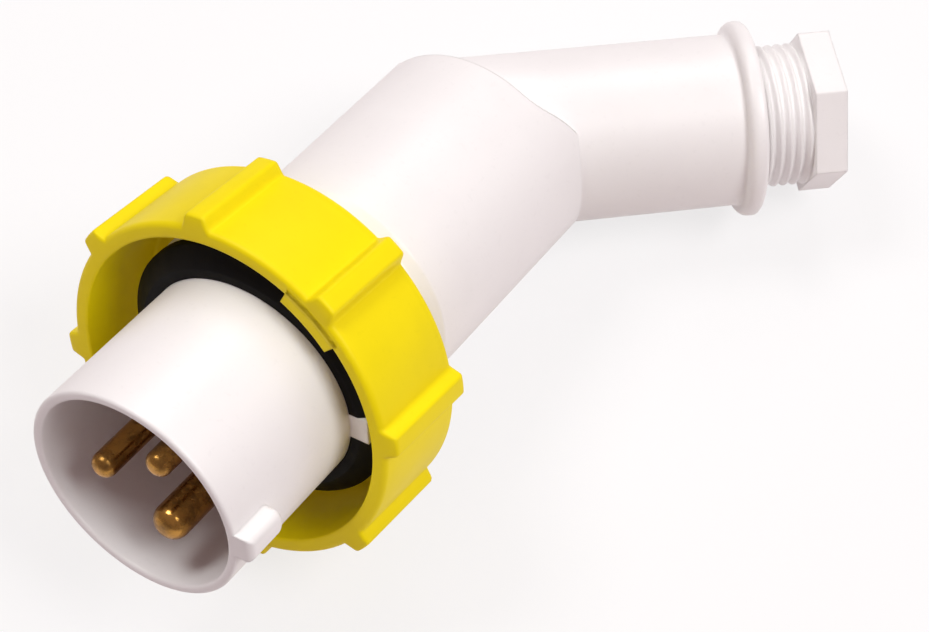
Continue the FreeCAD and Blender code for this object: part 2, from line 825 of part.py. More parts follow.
def build_pieces():
    """Every piece with its place in the plug's own axes."""
    pieces = [
        (front_shell(), Placement()),
        (face_gasket(), Placement()),
        (housing_seal(), Placement()),
        (elbow_housing(), Placement()),
        (pin_retainer(), Placement()),
        (coupling_ring(), ring_lean()),
        (gland_grommet(), tail_frame()),
        (gland_washer(), tail_frame()),
        (gland_screw(), tail_frame()),
    ]
    pins = (("phase_pin_1", "phase_pin_radius", "first_phase_angle"),
            ("phase_pin_2", "phase_pin_radius", "second_phase_angle"),
            ("earth_pin", "earth_pin_radius", "earth_angle"))
    for index, (name, radius, angle) in enumerate(pins, 1):
        turn = number(angle)
        pieces.append((pin(name, radius), at_angle(number("pin_circle"), turn)))
        screw = slotted_screw(f"terminal_screw_{index}", "terminal_screw_radius",
                              "barrel_wall + wire_bore / 2", "terminal_head_radius",
                              "terminal_head_height")
        pieces.append((screw, terminal_pose(turn)))
    count = int(number("screw_count"))
    for index in range(count):
        turn = 360.0 * index / count
        screw = slotted_screw(f"retainer_screw_{index + 1}", "retainer_screw_radius",
                              "retainer_thickness + retainer_screw_depth - soft_gap",
                              "retainer_head_radius", "retainer_head_height")
        pose = screw_pose(turn, number("retainer_screw_circle"), number("retainer_back"), "tail")
        pieces.append((screw, pose))
        screw = slotted_screw(f"housing_screw_{index + 1}", "housing_screw_radius",
                              "flange_thickness - housing_head_height + housing_screw_depth",
                              "housing_head_radius", "housing_head_height - soft_gap")
        pose = screw_pose(180.0 + turn, number("housing_screw_circle"),
                          number("flange_front + housing_head_height"), "mouth")
        pieces.append((screw, pose))
    return pieces


# Rest: the plug lies on the rear ends of two neighbouring ribs and on the collar

SETTLE_STEPS = 12
LOW_RIBS = (4, 5)


def rib_corners(index):
    """Rear corners of one rib's crest, in the plug's own axes."""
    turn = 360.0 * index / number("rib_count")
    crest = number("ring_radius + rib_height")
    shoulder = number("ring_radius + rib_height / 2")
    corners = [(crest, number("rib_crest / 2")), (shoulder, number("rib_shoulder / 2"))]
    pose = ring_lean() * Placement(Vector(), Rotation(Vector(0, -1, 0), turn))
    return [pose.multVec(Vector(out, number("ring_back"), side * half))
            for out, half in corners for side in (-1, 1)]


def collar_low_point(up):
    """Lowest point of the collar's round crest when a direction is up."""
    frame = tail_frame()
    axis = frame.Rotation.multVec(Vector(0, 1, 0))
    across = (up - axis * up.dot(axis)).normalize()
    ends = (number("collar_start + collar_front_rounding"),
            number("collar_rear - collar_rear_rounding"))
    points = [frame.multVec(Vector(0, end, 0)) - across * number("collar_radius") for end in ends]
    return min(points, key=lambda point: point.dot(up))


def floor_normal():
    up = Vector(0, 0, 1)
    for step in range(SETTLE_STEPS):
        low = [min(rib_corners(index), key=lambda point: point.dot(up)) for index in LOW_RIBS]
        low.append(collar_low_point(up))
        normal = (low[1] - low[0]).cross(low[2] - low[0]).normalize()
        up = normal if normal.z > 0 else -normal
    return up


def rest_turn():
    """Set the floor's normal upright and the main axis over +Y."""
    upright = Rotation(floor_normal(), Vector(0, 0, 1))
    heading = upright.multVec(Vector(0, 1, 0))
    return Rotation(Vector(heading.x, heading.y, 0), Vector(0, 1, 0)) * upright


def main():
    pieces = build_pieces()
    turn = Placement(Vector(), rest_turn())
    for body, place in pieces:
        body.Placement = turn * place
    doc.recompute()

    box = Part.makeCompound([body.Shape for body, place in pieces]).optimalBoundingBox(False)
    base = Vector(-box.Center.x, -box.Center.y, -box.ZMin)
    rest = Placement(base, turn.Rotation)
    for body, place in pieces:
        body.Placement = rest * place
    doc.recompute()

    for item in doc.Objects:
        if "Invalid" in item.State or "Error" in item.State:
            raise RuntimeError(f"{item.Name}: {item.State}")
    for body, place in pieces:
        shape = body.Shape
        if shape.isNull() or not shape.isValid() or shape.Volume <= 0:
            raise RuntimeError(f"{body.Name}: no valid solid")
        if len(shape.Solids) != 1:
            raise RuntimeError(f"{body.Name}: {len(shape.Solids)} solids")

    os.makedirs("parts", exist_ok=True)
    for body, place in pieces:
        body.Label = body.Name
        body.Shape.exportStep(os.path.join("parts", body.Label + ".step"))
    print(f"{len(pieces)} pieces, {box.XLength:.1f} x {box.YLength:.1f} x {box.ZLength:.1f} mm")


main()
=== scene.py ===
"""Looks of an angled watertight plug: pale moulded sleeve and elbow, loose yellow coupling ring,
black face seal, three brass pins and a threaded gland screw.

Pieces are drawn in the plug's own axes, in millimetres: Y runs from the middle of the mouth to the
elbow, the tail bends towards X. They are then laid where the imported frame's mounts say.
"""
import json
import math
from types import SimpleNamespace

import bmesh
import bpy
from bpy.props import FloatProperty, FloatVectorProperty, IntProperty, PointerProperty
from mathutils import Euler, Matrix, Vector


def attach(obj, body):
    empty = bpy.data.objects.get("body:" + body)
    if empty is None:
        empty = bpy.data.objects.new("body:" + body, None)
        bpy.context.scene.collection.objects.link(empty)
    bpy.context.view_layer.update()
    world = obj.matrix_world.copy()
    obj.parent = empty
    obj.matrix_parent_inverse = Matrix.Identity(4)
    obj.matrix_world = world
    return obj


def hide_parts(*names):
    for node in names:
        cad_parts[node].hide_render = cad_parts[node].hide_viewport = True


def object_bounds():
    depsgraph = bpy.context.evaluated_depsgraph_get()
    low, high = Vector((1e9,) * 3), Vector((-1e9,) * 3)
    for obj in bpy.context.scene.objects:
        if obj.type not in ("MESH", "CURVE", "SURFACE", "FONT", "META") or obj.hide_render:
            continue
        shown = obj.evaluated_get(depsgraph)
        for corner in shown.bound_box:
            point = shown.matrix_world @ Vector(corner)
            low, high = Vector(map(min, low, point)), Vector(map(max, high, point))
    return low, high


bl_info = {
    "name": "Angled Watertight Plug",
    "version": (1, 1, 0),
    "blender": (4, 5, 0),
    "location": "View3D > Sidebar > Plug",
    "description": "Builds the visible pieces of an angled watertight plug and its studio",
    "category": "Object",
}

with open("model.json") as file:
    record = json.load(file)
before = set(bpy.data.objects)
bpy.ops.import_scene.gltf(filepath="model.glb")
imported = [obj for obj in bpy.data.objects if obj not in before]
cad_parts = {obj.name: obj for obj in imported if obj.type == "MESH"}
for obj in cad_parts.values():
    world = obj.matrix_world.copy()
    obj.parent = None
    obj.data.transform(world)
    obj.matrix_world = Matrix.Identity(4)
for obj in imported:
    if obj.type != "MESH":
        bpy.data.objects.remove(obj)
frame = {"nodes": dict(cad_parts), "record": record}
CAD_BOX = [list(corner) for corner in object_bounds()]

MM = 0.001
# Faces round a turned piece, round a drilled hole, and round the ribbed ring
AROUND = 192
AROUND_SMALL = 64
AROUND_RING = 960
# How far a cutting shape runs past what it cuts
OVERCUT = 1.0
# Largest angle across an edge of a rounding, and between faces that are shaded as one
ARC_STEP = 12
SHARP = 30.0
# Points nearer than this are one point, in a drawn mesh and after a cut
DRAWN_MERGE = 1e-5
CUT_MERGE = 1e-4


# Sizes and colours that a user may change

def length(name, text, millimetres):
    """Property for a length, written in millimetres and kept in metres."""
    return FloatProperty(name=name, description=text, default=millimetres * MM, min=0.0,
                         unit="LENGTH", precision=5)


def angle(name, text, degrees):
    """Property for an angle, written in degrees and kept in radians."""
    return FloatProperty(name=name, description=text, default=math.radians(degrees),
                         unit="ROTATION")


def number(name, text, value):
    """Property for how many there are of something."""
    return IntProperty(name=name, description=text, default=value, min=1)


def colour(name, text, value):
    """Property for a colour, as linear red, green and blue."""
    return FloatVectorProperty(name=name, description=text, default=value, size=3,
                               subtype="COLOR", min=0.0, max=1.0)


class PlugSizes(bpy.types.PropertyGroup):
    sleeve_radius: length("Sleeve radius", "Outside of the round sleeve", 22.0)
    sleeve_wall: length("Sleeve wall", "Thickness of the sleeve", 1.85)
    floor_front: length("Floor", "From the mouth to the floor that holds the pins", 39.0)
    floor_thickness: length("Floor thickness", "Thickness of that floor", 6.0)
    key_length: length("Key length", "How far the key runs along the sleeve", 9.5)
    key_width: length("Key width", "Width of the key", 5.2)
    key_height: length("Key height", "How far the key stands out of the sleeve", 3.4)
    key_rounding: length("Key rounding", "Rounding of the key's crest", 2.0)
    tab_width: length("Tab width", "Width of the tab in the seal", 5.5)
    tab_inset: length("Tab inset", "From the flange's outside to the tab's", 0.9)
    flange_radius: length("Flange radius", "Outside of the flange behind the seal", 26.8)
    flange_front: length("Flange front", "From the mouth to that flange", 38.0)
    flange_thickness: length("Flange thickness", "Thickness of that flange", 3.0)
    spigot_inset: length("Spigot inset", "How much slimmer the shell is in the housing", 1.2)
    spigot_wall: length("Spigot wall", "Thickness of the shell in the housing", 2.2)
    spigot_end: length("Spigot end", "From the mouth to the shell's end", 46.5)
    seal_depth: length("Seal depth", "Thickness of the face seal", 4.75)
    seal_drop: length("Seal drop", "Depth of the face seal's slanted edge", 2.75)
    seal_flat: length("Seal flat", "Radius of the face seal's flat front", 24.0)
    seal_radius: length("Seal radius", "Outside of the face seal", 27.7)
    rim_radius: length("Rim radius", "Rim of the housing that holds the ring", 27.67)
    rim_thickness: length("Rim thickness", "Thickness of that rim", 4.5)
    neck_radius: length("Neck radius", "Outside of the housing inside the ring", 22.3)
    neck_end: length("Neck end", "From the mouth to the end of the neck", 59.3)
    neck_slope: length("Neck slope", "Length of the step up to the body", 2.0)
    body_radius: length("Body radius", "Outside of the housing", 23.7)
    body_end: length("Body end", "From the mouth to the flat end of the body", 107.6)
    shoulder: length("Shoulder", "From the axis to where the end climbs", 14.6)
    housing_wall: length("Housing wall", "Wall of the housing", 2.6)
    elbow: length("Elbow point", "From the mouth to where the two axes meet", 113.2)
    bend: angle("Bend", "Angle between the body and the tail", 50.0)
    tail_back: length("Tail back", "How far the tail runs back into the body", 24.0)
    tail_root: length("Tail root", "Radius of the tail inside the body", 17.6)
    tail_tip: length("Tail tip", "Radius of the tail at the collar", 17.3)
    tail_bore: length("Tail bore", "Inside of the tail", 11.5)
    tail_bore_back: length("Tail bore back", "How far that bore runs back", 12.0)
    seat_start: length("Seat", "From the elbow point to the grommet's seat", 24.0)
    seat_slope: length("Seat slope", "Length of the slope at that seat", 2.2)
    collar_start: length("Collar start", "From the elbow point to the collar", 49.5)
    collar_width: length("Collar width", "Width of the tail's collar", 4.2)
    collar_height: length("Collar height", "How far the collar stands out of the tail", 2.4)
    collar_slope: length("Collar slope", "Length of the slope at the tail's mouth", 0.5)
    collar_land: length("Collar land", "Width of the tail's end face", 1.0)
    collar_foot: length("Collar foot", "Straight part of the collar's near side", 0.5)
    collar_rounding: length("Collar rounding", "Rounding of the collar's far edge", 1.2)
    ring_front: length("Ring front", "From the mouth to the ring", 29.2)
    ring_width: length("Ring width", "Width of the coupling ring", 21.9)
    ring_radius: length("Ring radius", "Outside of the ring between its ribs", 34.96)
    ring_bore: length("Ring bore", "Inside of the ring", 31.9)
    ring_edge: length("Ring edge", "Rounding of the ring's outer edges", 1.1)
    ring_phase: angle("Ring turn", "How far the loose ring is turned", 53.0)
    lip_radius: length("Lip radius", "Inside of the lip that holds the ring", 26.92)
    lip_thickness: length("Lip thickness", "Thickness of that lip", 2.5)
    rib_count: number("Ribs", "Grip ribs round the ring", 8)
    rib_height: length("Rib height", "How far a rib stands out", 2.5)
    rib_base: length("Rib base", "Width of a rib at its foot", 6.4)
    rib_crest: length("Rib crest", "Width of a rib at its top", 3.2)
    lug_count: number("Lugs", "Bayonet lugs in the ring", 2)
    lug_height: length("Lug height", "How far a lug stands into the ring", 2.4)
    lug_length: length("Lug length", "Length of a lug along the ring", 3.2)
    lug_span: angle("Lug span", "Angle that a lug takes up", 22.0)
    pin_recess: length("Pin recess", "From the mouth to the pins' tips", 1.4)
    pin_circle: length("Pin circle", "Radius of the circle through the pins", 8.75)
    thin_pin: length("Thin pin", "Radius of the two thin pins", 2.5)
    earth_pin: length("Earth pin", "Radius of the thick pin", 3.5)
    pin_step: length("Pin step", "How much thicker a pin is in the floor", 0.3)
    pin_collar: length("Pin collar", "How far a pin's collar stands out", 1.7)
    pin_seat: length("Pin seat", "Thickness of that collar", 2.0)
    barrel_radius: length("Barrel radius", "Outside of a terminal", 4.2)
    barrel_start: length("Barrel start", "From the mouth to the terminals", 50.0)
    barrel_length: length("Barrel length", "Length of a terminal", 13.0)
    wire_bore: length("Wire bore", "Radius of the hole for a wire", 2.1)
    wire_depth: length("Wire depth", "Depth of that hole", 10.0)
    clamp_radius: length("Clamp hole", "Radius of the hole for a clamping screw", 1.54)
    clamp_setback: length("Clamp setback", "From a terminal's end to that hole", 6.5)
    thread_radius: length("Thread radius", "Outside of the gland thread", 14.3)
    thread_pitch: length("Thread pitch", "Distance from one crest to the next", 2.0)
    thread_depth: length("Thread depth", "Depth of the gland thread", 1.0)
    thread_gap: length("Thread gap", "Play of the thread in the tail", 0.05)
    cord_bore: length("Cord bore", "Radius of the hole for the cord", 7.75)
    backed_out: length("Backed out", "Gap between the tail and the hexagon", 10.0)
    shank_length: length("Shank", "Length of the threaded shank", 16.0)
    hex_length: length("Hexagon length", "Length of the hexagon", 6.4)
    hex_corner: length("Hexagon corner", "Radius to the corners of the hexagon", 16.7)
    hex_turn: angle("Hexagon turn", "Turn of the hexagon about the tail", 50.5)
    hex_chamfer: length("Hexagon chamfer", "Chamfer round the hole in the hexagon", 1.0)


class PlugColours(bpy.types.PropertyGroup):
    shell: colour("Shell", "Pale moulded plastic", (0.87, 0.86, 0.857))
    ring: colour("Ring", "Yellow moulded plastic", (0.89, 0.73, 0.001))
    rubber: colour("Rubber", "Black seals", (0.003, 0.0026, 0.0026))
    brass: colour("Brass", "Pins and terminals", (0.50, 0.26, 0.06))
    tarnish: colour("Tarnish", "Dull patches on the brass", (0.07, 0.04, 0.018))
    steel: colour("Steel", "Screws", (0.58, 0.58, 0.60))
    insulator: colour("Insulator", "Plate behind the pins", (0.60, 0.57, 0.52))
    ground: colour("Ground", "Studio floor", (0.86, 0.82, 0.83))


def measured(group):
    """The sizes in millimetres and degrees, with the places that follow from them."""
    scale = {"LENGTH": 1 / MM, "ROTATION": math.degrees(1)}
    units = {name: group.bl_rna.properties[name].unit for name in group.__annotations__}
    at = SimpleNamespace(**{name: getattr(group, name) * scale.get(unit, 1)
                            for name, unit in units.items()})
    at.sleeve_bore = at.sleeve_radius - at.sleeve_wall
    at.sleeve_middle = at.sleeve_radius - at.sleeve_wall / 2
    at.floor_back = at.floor_front + at.floor_thickness
    at.flange_back = at.flange_front + at.flange_thickness
    at.seal_front = at.flange_front - at.seal_depth
    at.spigot_radius = at.sleeve_radius - at.spigot_inset
    at.rim_back = at.flange_back + at.rim_thickness
    at.neck_stop = at.neck_end + at.neck_slope
    at.climb = 1 / math.tan(math.radians(at.bend))
    at.body_top = at.body_end + (at.body_radius - at.shoulder) * at.climb
    at.collar_end = at.collar_start + at.collar_width
    at.collar_rear = at.collar_end - at.collar_slope
    at.collar_radius = at.tail_tip + at.collar_height
    at.tail_thread = at.thread_radius + at.thread_gap
    at.ring_back = at.ring_front + at.ring_width
    at.barrel_end = at.barrel_start + at.barrel_length
    at.hex_front = at.collar_end + at.backed_out
    at.hex_back = at.hex_front + at.hex_length
    at.shank_front = at.hex_front - at.shank_length
    return at


# Where the plug, its tail and its ring lie in the frame

def mount(name):
    """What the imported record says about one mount."""
    return next(entry for entry in frame["record"]["mounts"] if entry["name"] == name)


def axes(origin, along, towards):
    """Matrix whose Y runs along one direction and whose X leans towards another."""
    y = Vector(along).normalized()
    x = (Vector(towards) - y * y.dot(Vector(towards))).normalized()
    z = x.cross(y)
    matrix = Matrix((x, y, z)).transposed().to_4x4()
    matrix.translation = Vector(origin)
    return matrix


def in_millimetres(matrix):
    """The same place for a mesh that is drawn in millimetres."""
    return matrix @ Matrix.Scale(MM, 4)


def in_metres(matrix):
    """The same turn with its shift taken from millimetres to metres."""
    scaled = matrix.copy()
    scaled.translation = matrix.translation * MM
    return scaled


def turned(degrees):
    """Turn about Y that carries X towards Z."""
    return Matrix.Rotation(math.radians(-degrees), 4, "Y")


def plug_axes():
    """The plug's own axes in the frame: from the mouth inwards, with the tail towards X."""
    mouth = mount("sleeve_and_key")
    return axes(mouth["pos_m"], -Vector(mouth["axis"]), mount("cord_entry")["axis"])


def bent(at):
    """From the tail's own axes to the plug's, both in millimetres."""
    return Matrix.Translation((0, at.elbow, 0)) @ Matrix.Rotation(-math.radians(at.bend), 4, "Z")


def ring_axes(at):
    """The ring's own axes in the frame, canted and turned as the loose ring lies."""
    ring = mount("bayonet_ring")
    along = -Vector(ring["axis"])
    start = Vector(ring["pos_m"]) - along * (at.ring_front + at.ring_back) / 2 * MM
    towards = plug_axes().to_3x3() @ Vector((1, 0, 0))
    return axes(start, along, towards) @ turned(at.ring_phase)


# Mesh helpers

def rounded(corners):
    """Outline of (radius, height, rounding) corners with arcs put in the corners."""
    points = []
    count = len(corners)
    for index, (r, y, arc) in enumerate(corners):
        here = Vector((r, y))
        before = Vector(corners[index - 1][:2])
        after = Vector(corners[(index + 1) % count][:2])
        if arc <= 0:
            points.append((r, y))
            continue
        to_before = (before - here).normalized()
        to_after = (after - here).normalized()
        half = to_before.angle(to_after) / 2
        reach = arc / math.tan(half)
        middle = here + (to_before + to_after).normalized() * (arc / math.sin(half))
        start = here + to_before * reach - middle
        end = here + to_after * reach - middle
        sweep = start.angle_signed(end)
        steps = max(3, int(abs(sweep) / math.radians(ARC_STEP)) + 1)
        for step in range(steps + 1):
            point = start.copy()
            point.rotate(Matrix.Rotation(-sweep * step / steps, 2))
            points.append(tuple(middle + point))
    return points


def spun(corners, around=AROUND, sector=None):
    """Closed solid spun about Y from an outline; corners on the axis become poles."""
    outline = rounded(corners)
    mesh = bmesh.new()
    first, last = sector or (0.0, 360.0)
    rows = []
    for step in range(around + 1 if sector else around):
        turn = math.radians(first + (last - first) * step / around)
        rows.append([mesh.verts.new((r * math.cos(turn), y, r * math.sin(turn)))
                     for r, y in outline])
    for step in range(around):
        a = rows[step]
        b = rows[(step + 1) % len(rows)]
        for index, corner in enumerate(outline):
            after = (index + 1) % len(outline)
            if max(corner[0], outline[after][0]) > 0:
                mesh.faces.new((a[index], a[after], b[after], b[index]))
    if sector:
        mesh.faces.new(rows[0])
        mesh.faces.new(rows[-1])
    return closed(mesh)


def prism(corners, low, high):
    """Straight solid along Y from (x, z) corners."""
    mesh = bmesh.new()
    bottom = [mesh.verts.new((x, low, z)) for x, z in corners]
    top = [mesh.verts.new((x, high, z)) for x, z in corners]
    mesh.faces.new(bottom)
    mesh.faces.new(top)
    for index in range(len(corners)):
        after = (index + 1) % len(corners)
        mesh.faces.new((bottom[index], bottom[after], top[after], top[index]))
    return closed(mesh)


def box(x, y, z):
    """Straight solid between pairs of limits."""
    return prism([(x[0], z[0]), (x[1], z[0]), (x[1], z[1]), (x[0], z[1])], *y)


def closed(mesh):
    """Merge what meets, and point all faces outwards."""
    bmesh.ops.remove_doubles(mesh, verts=mesh.verts, dist=DRAWN_MERGE)
    bmesh.ops.recalc_face_normals(mesh, faces=mesh.faces)
    return mesh


def solid(name, mesh, matrix=None):
    """Object from a finished mesh, in the units that it was drawn in."""
    data = bpy.data.meshes.new(name)
    mesh.to_mesh(data)
    mesh.free()
    if matrix:
        data.transform(matrix)
    made = bpy.data.objects.new(name, data)
    bpy.context.scene.collection.objects.link(made)
    return made


def discarded(made):
    """Remove a helper object with its mesh."""
    data = made.data
    bpy.data.objects.remove(made)
    bpy.data.meshes.remove(data)


def settled(made):
    """Turn live modifiers into plain mesh."""
    graph = bpy.context.evaluated_depsgraph_get()
    fixed = bpy.data.meshes.new_from_object(made.evaluated_get(graph))
    old = made.data
    made.modifiers.clear()
    made.data = fixed
    bpy.data.meshes.remove(old)
    return made


def combined(target, tool, operation):
    """Join a tool to a solid, or cut it away."""
    step = target.modifiers.new("shape", "BOOLEAN")
    step.operation = operation
    step.solver = "EXACT"
    step.object = tool
    settled(target)
    discarded(tool)
    return target


def drilled(target, places, *steps):
    """Round stepped holes along Y; a step is its radius and where it starts and ends."""
    profile = [(0, steps[0][1], 0)]
    for radius, low, high in steps:
        profile += [(radius, low, 0), (radius, high, 0)]
    profile.append((0, steps[-1][2], 0))
    for place in places:
        combined(target, solid("hole", spun(profile, AROUND_SMALL), place), "DIFFERENCE")


def smoothed(made):
    """Smooth shading, broken where faces meet at more than the SHARP angle."""
    mesh = bmesh.new()
    mesh.from_mesh(made.data)
    bmesh.ops.remove_doubles(mesh, verts=mesh.verts, dist=CUT_MERGE)
    for face in mesh.faces:
        face.smooth = True
    for edge in mesh.edges:
        edge.smooth = len(edge.link_faces) == 2 and edge.calc_face_angle() < math.radians(SHARP)
    mesh.to_mesh(made.data)
    mesh.free()
    return made


def laid(made, matrix, body, finish, slot, *nodes):
    """Put a piece in its place, dress it and hand it to its body."""
    smoothed(made)
    made.data.transform(in_millimetres(matrix))
    made.data.materials.clear()
    made.data.materials.append(finish)
    made.data.update()
    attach(made, body)
    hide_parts(*nodes)


# Node expressions

class Wire:
    """One output of a node tree; arithmetic on it adds nodes."""

    def __init__(self, tree, socket):
        self.tree = tree
        self.socket = socket

    def node(self, kind, settings=None, *plugs, **named):
        """Node with its settings made first, then its sockets in order or by name."""
        made = self.tree.nodes.new(kind)
        for key, value in (settings or {}).items():
            setattr(made, key, value)
        wanted = [(made.inputs[place], value) for place, value in enumerate(plugs)]
        wanted += [(made.inputs[key.replace("_", " ")], value) for key, value in named.items()]
        for socket, value in wanted:
            if isinstance(value, Wire):
                self.tree.links.new(value.socket, socket)
            else:
                socket.default_value = value
        return made

    def out(self, kind, settings=None, *plugs, result=0, **named):
        """The same, as a wire from one of the node's outputs."""
        return Wire(self.tree, self.node(kind, settings, *plugs, **named).outputs[result])

    def maths(self, operation, *others, flip=False, clamp=False):
        """A Math node on this wire and others; flip puts this wire last."""
        values = others + (self,) if flip else (self,) + others
        settings = {"operation": operation, "use_clamp": clamp}
        return self.out("ShaderNodeMath", settings, *values)

    def __add__(self, other):
        return self.maths("ADD", other)

    __radd__ = __add__

    def __sub__(self, other):
        return self.maths("SUBTRACT", other)

    def __rsub__(self, other):
        return self.maths("SUBTRACT", other, flip=True)

    def __mul__(self, other):
        return self.maths("MULTIPLY", other)

    __rmul__ = __mul__

    def __truediv__(self, other):
        return self.maths("DIVIDE", other)

    def __rtruediv__(self, other):
        return self.maths("DIVIDE", other, flip=True)

    def limited(self):
        """The same value, kept between 0 and 1."""
        return self.maths("ADD", 0.0, clamp=True)

    def rise(self, low, high, soft=True):
        """0 at one value and 1 at the other, with a soft or a straight step between."""
        settings = {"interpolation_type": "SMOOTHSTEP" if soft else "LINEAR"}
        return self.out("ShaderNodeMapRange", settings, self, low, high, 0.0, 1.0)


# Places of the two colours and of their mix among a Mix node's sockets
FIRST_COLOUR = 6
SECOND_COLOUR = 7
MIXED_COLOUR = 2


def blend(share, first, second):
    """Mix two colours, each a wire or a plain value."""
    made = share.node("ShaderNodeMix", {"data_type": "RGBA"}, share)
    for place, value in ((FIRST_COLOUR, first), (SECOND_COLOUR, second)):
        if isinstance(value, Wire):
            share.tree.links.new(value.socket, made.inputs[place])
        else:
            made.inputs[place].default_value = value
    return Wire(share.tree, made.outputs[MIXED_COLOUR])


def tint(value, factor=1.0):
    """A colour made lighter or darker, with its fourth value added."""
    return tuple(min(1.0, channel * factor) for channel in value[:3]) + (1.0,)


# Materials

# Noise scales, in cells per metre, from broad clouds to the finest grain
FLOOR_CLOUDS = 3.0
CLOUDS = 38.0
PIN_WAVER = 90.0
HAND_MARKS = 120.0
BLOOM = 160.0
SINK_MARKS = 210.0
TARNISH = 240.0
RUBBER_MARKS = 300.0
DULL_PATCHES = 420.0
SPECKS = 900.0
SCRATCHES = 2600.0
RUBBER_GRAIN = 3600.0
SPARK_GRAIN = 5200.0
# Turning marks on the brass, in radians per millimetre
TURNING = 9.0
# Rays that find an edge to soften
EASING_SAMPLES = 6


class Finish:
    """A material with one surface shader, object coordinates and a few habits."""

    def __init__(self, name, **constant):
        self.material = bpy.data.materials.new(name)
        self.material.use_nodes = True
        self.tree = self.material.node_tree
        self.shader = self.tree.nodes["Principled BSDF"]
        for key, value in constant.items():
            self.shader.inputs[key.replace("_", " ")].default_value = value
        spot = self.tree.nodes.new("ShaderNodeTexCoord")
        self.place = Wire(self.tree, spot.outputs["Object"])

    def feed(self, **wires):
        """Link wires to the shader's sockets by name."""
        for key, wire in wires.items():
            self.tree.links.new(wire.socket, self.shader.inputs[key.replace("_", " ")])

    def noise(self, scale, detail=3.0, rough=0.5):
        """Noise that is fixed to the object."""
        return self.place.out("ShaderNodeTexNoise", None, Vector=self.place, Scale=scale,
                              Detail=detail, Roughness=rough)

    def along(self, matrix):
        """Height along a piece's own Y axis, in millimetres."""
        back = matrix.inverted()
        local = self.place.out("ShaderNodeMapping", {"vector_type": "POINT"}, self.place,
                               tuple(back.translation / MM), tuple(back.to_euler()),
                               (1 / MM,) * 3)
        return local.out("ShaderNodeSeparateXYZ", None, local, result="Y")

    def eased(self, radius):
        """Normal softened over sharp edges, as a mould leaves them."""
        return self.place.out("ShaderNodeBevel", {"samples": EASING_SAMPLES}, Radius=radius * MM)

    def bump(self, height, normal, distance, strength):
        """Fine relief up to a distance in millimetres, on top of a softened normal."""
        return self.place.out("ShaderNodeBump", None, Height=height, Distance=distance * MM,
                              Strength=strength, Normal=normal)


def moulded(name, base, shade, gloss, edge, shine=0.5):
    """Moulded plastic: faint clouding, hand marks in the gloss and a fine spark-eroded grain."""
    finish = Finish(name, IOR=1.46, Specular_IOR_Level=shine)
    cloud = finish.noise(CLOUDS, detail=4.0, rough=0.6).rise(0.35, 0.7)
    speck = finish.noise(SPECKS, detail=2.0).rise(0.62, 0.72)
    clouded = blend(cloud, tint(base), tint(base, shade))
    worn = blend(speck * 0.08, clouded, tint(base, 0.72))
    touch = finish.noise(HAND_MARKS, detail=3.0, rough=0.65)
    grain = finish.noise(SPARK_GRAIN, detail=2.0)
    sinks = finish.noise(SINK_MARKS, detail=2.0)
    height = grain * 0.35 + sinks * 0.65
    finish.feed(Base_Color=worn, Roughness=(touch * 0.16 + gloss).limited(),
                Normal=finish.bump(height, finish.eased(edge), distance=0.06,
                                   strength=0.3))
    return finish.material


def rubber(name, base):
    """Matt black rubber with a pale bloom in places."""
    finish = Finish(name, IOR=1.45, Specular_IOR_Level=0.15)
    bloom = finish.noise(BLOOM, detail=4.0, rough=0.65).rise(0.45, 0.8)
    grain = finish.noise(RUBBER_GRAIN, detail=3.0)
    finish.feed(Base_Color=blend(bloom * 0.5, tint(base), tint(base, 2.4)),
                Roughness=(finish.noise(RUBBER_MARKS) * 0.2 + 0.55).limited(),
                Normal=finish.bump(grain, finish.eased(0.4), distance=0.08, strength=0.4))
    return finish.material


def turned_brass(name, base, dull, matrix):
    """Turned brass: fine rings along the pin, darker where it has tarnished."""
    finish = Finish(name, Metallic=1.0)
    swing = finish.along(matrix) * TURNING + finish.noise(PIN_WAVER, detail=2.0) * 2.0
    tarnish = finish.noise(TARNISH, detail=4.0, rough=0.7).rise(0.38, 0.7)
    finish.feed(Base_Color=blend(tarnish * 0.7, tint(base), tint(dull)),
                Roughness=(tarnish * 0.2 + 0.2).limited(),
                Normal=finish.bump(swing.maths("SINE"), finish.eased(0.3), distance=0.01,
                                   strength=0.25))
    return finish.material


def bright_steel(name, base):
    """Plated screws with fine scratches and dull patches."""
    finish = Finish(name, Metallic=1.0)
    patch = finish.noise(DULL_PATCHES, detail=3.0, rough=0.6).rise(0.4, 0.75)
    scratches = finish.noise(SCRATCHES, detail=2.0)
    finish.feed(Base_Color=blend(patch * 0.5, tint(base), tint(base, 0.62)),
                Roughness=(patch * 0.25 + 0.25).limited(),
                Normal=finish.bump(scratches, finish.eased(0.1), distance=0.02, strength=0.3))
    return finish.material


def dressing(colours):
    """Finishes that several pieces share, made once."""
    if "pale_moulding" not in bpy.data.materials:
        moulded("pale_moulding", colours.shell, shade=0.97, gloss=0.27, edge=0.7)
        moulded("yellow_moulding", colours.ring, shade=0.94, gloss=0.4, edge=0.6, shine=0.2)
        moulded("insulator_moulding", colours.insulator, shade=0.9, gloss=0.45, edge=0.3)
        rubber("black_rubber", colours.rubber)
        bright_steel("plated_steel", colours.steel)
        turned_brass("turned_brass", colours.brass, colours.tarnish, plug_axes())
    return bpy.data.materials


# Geometry Nodes trees

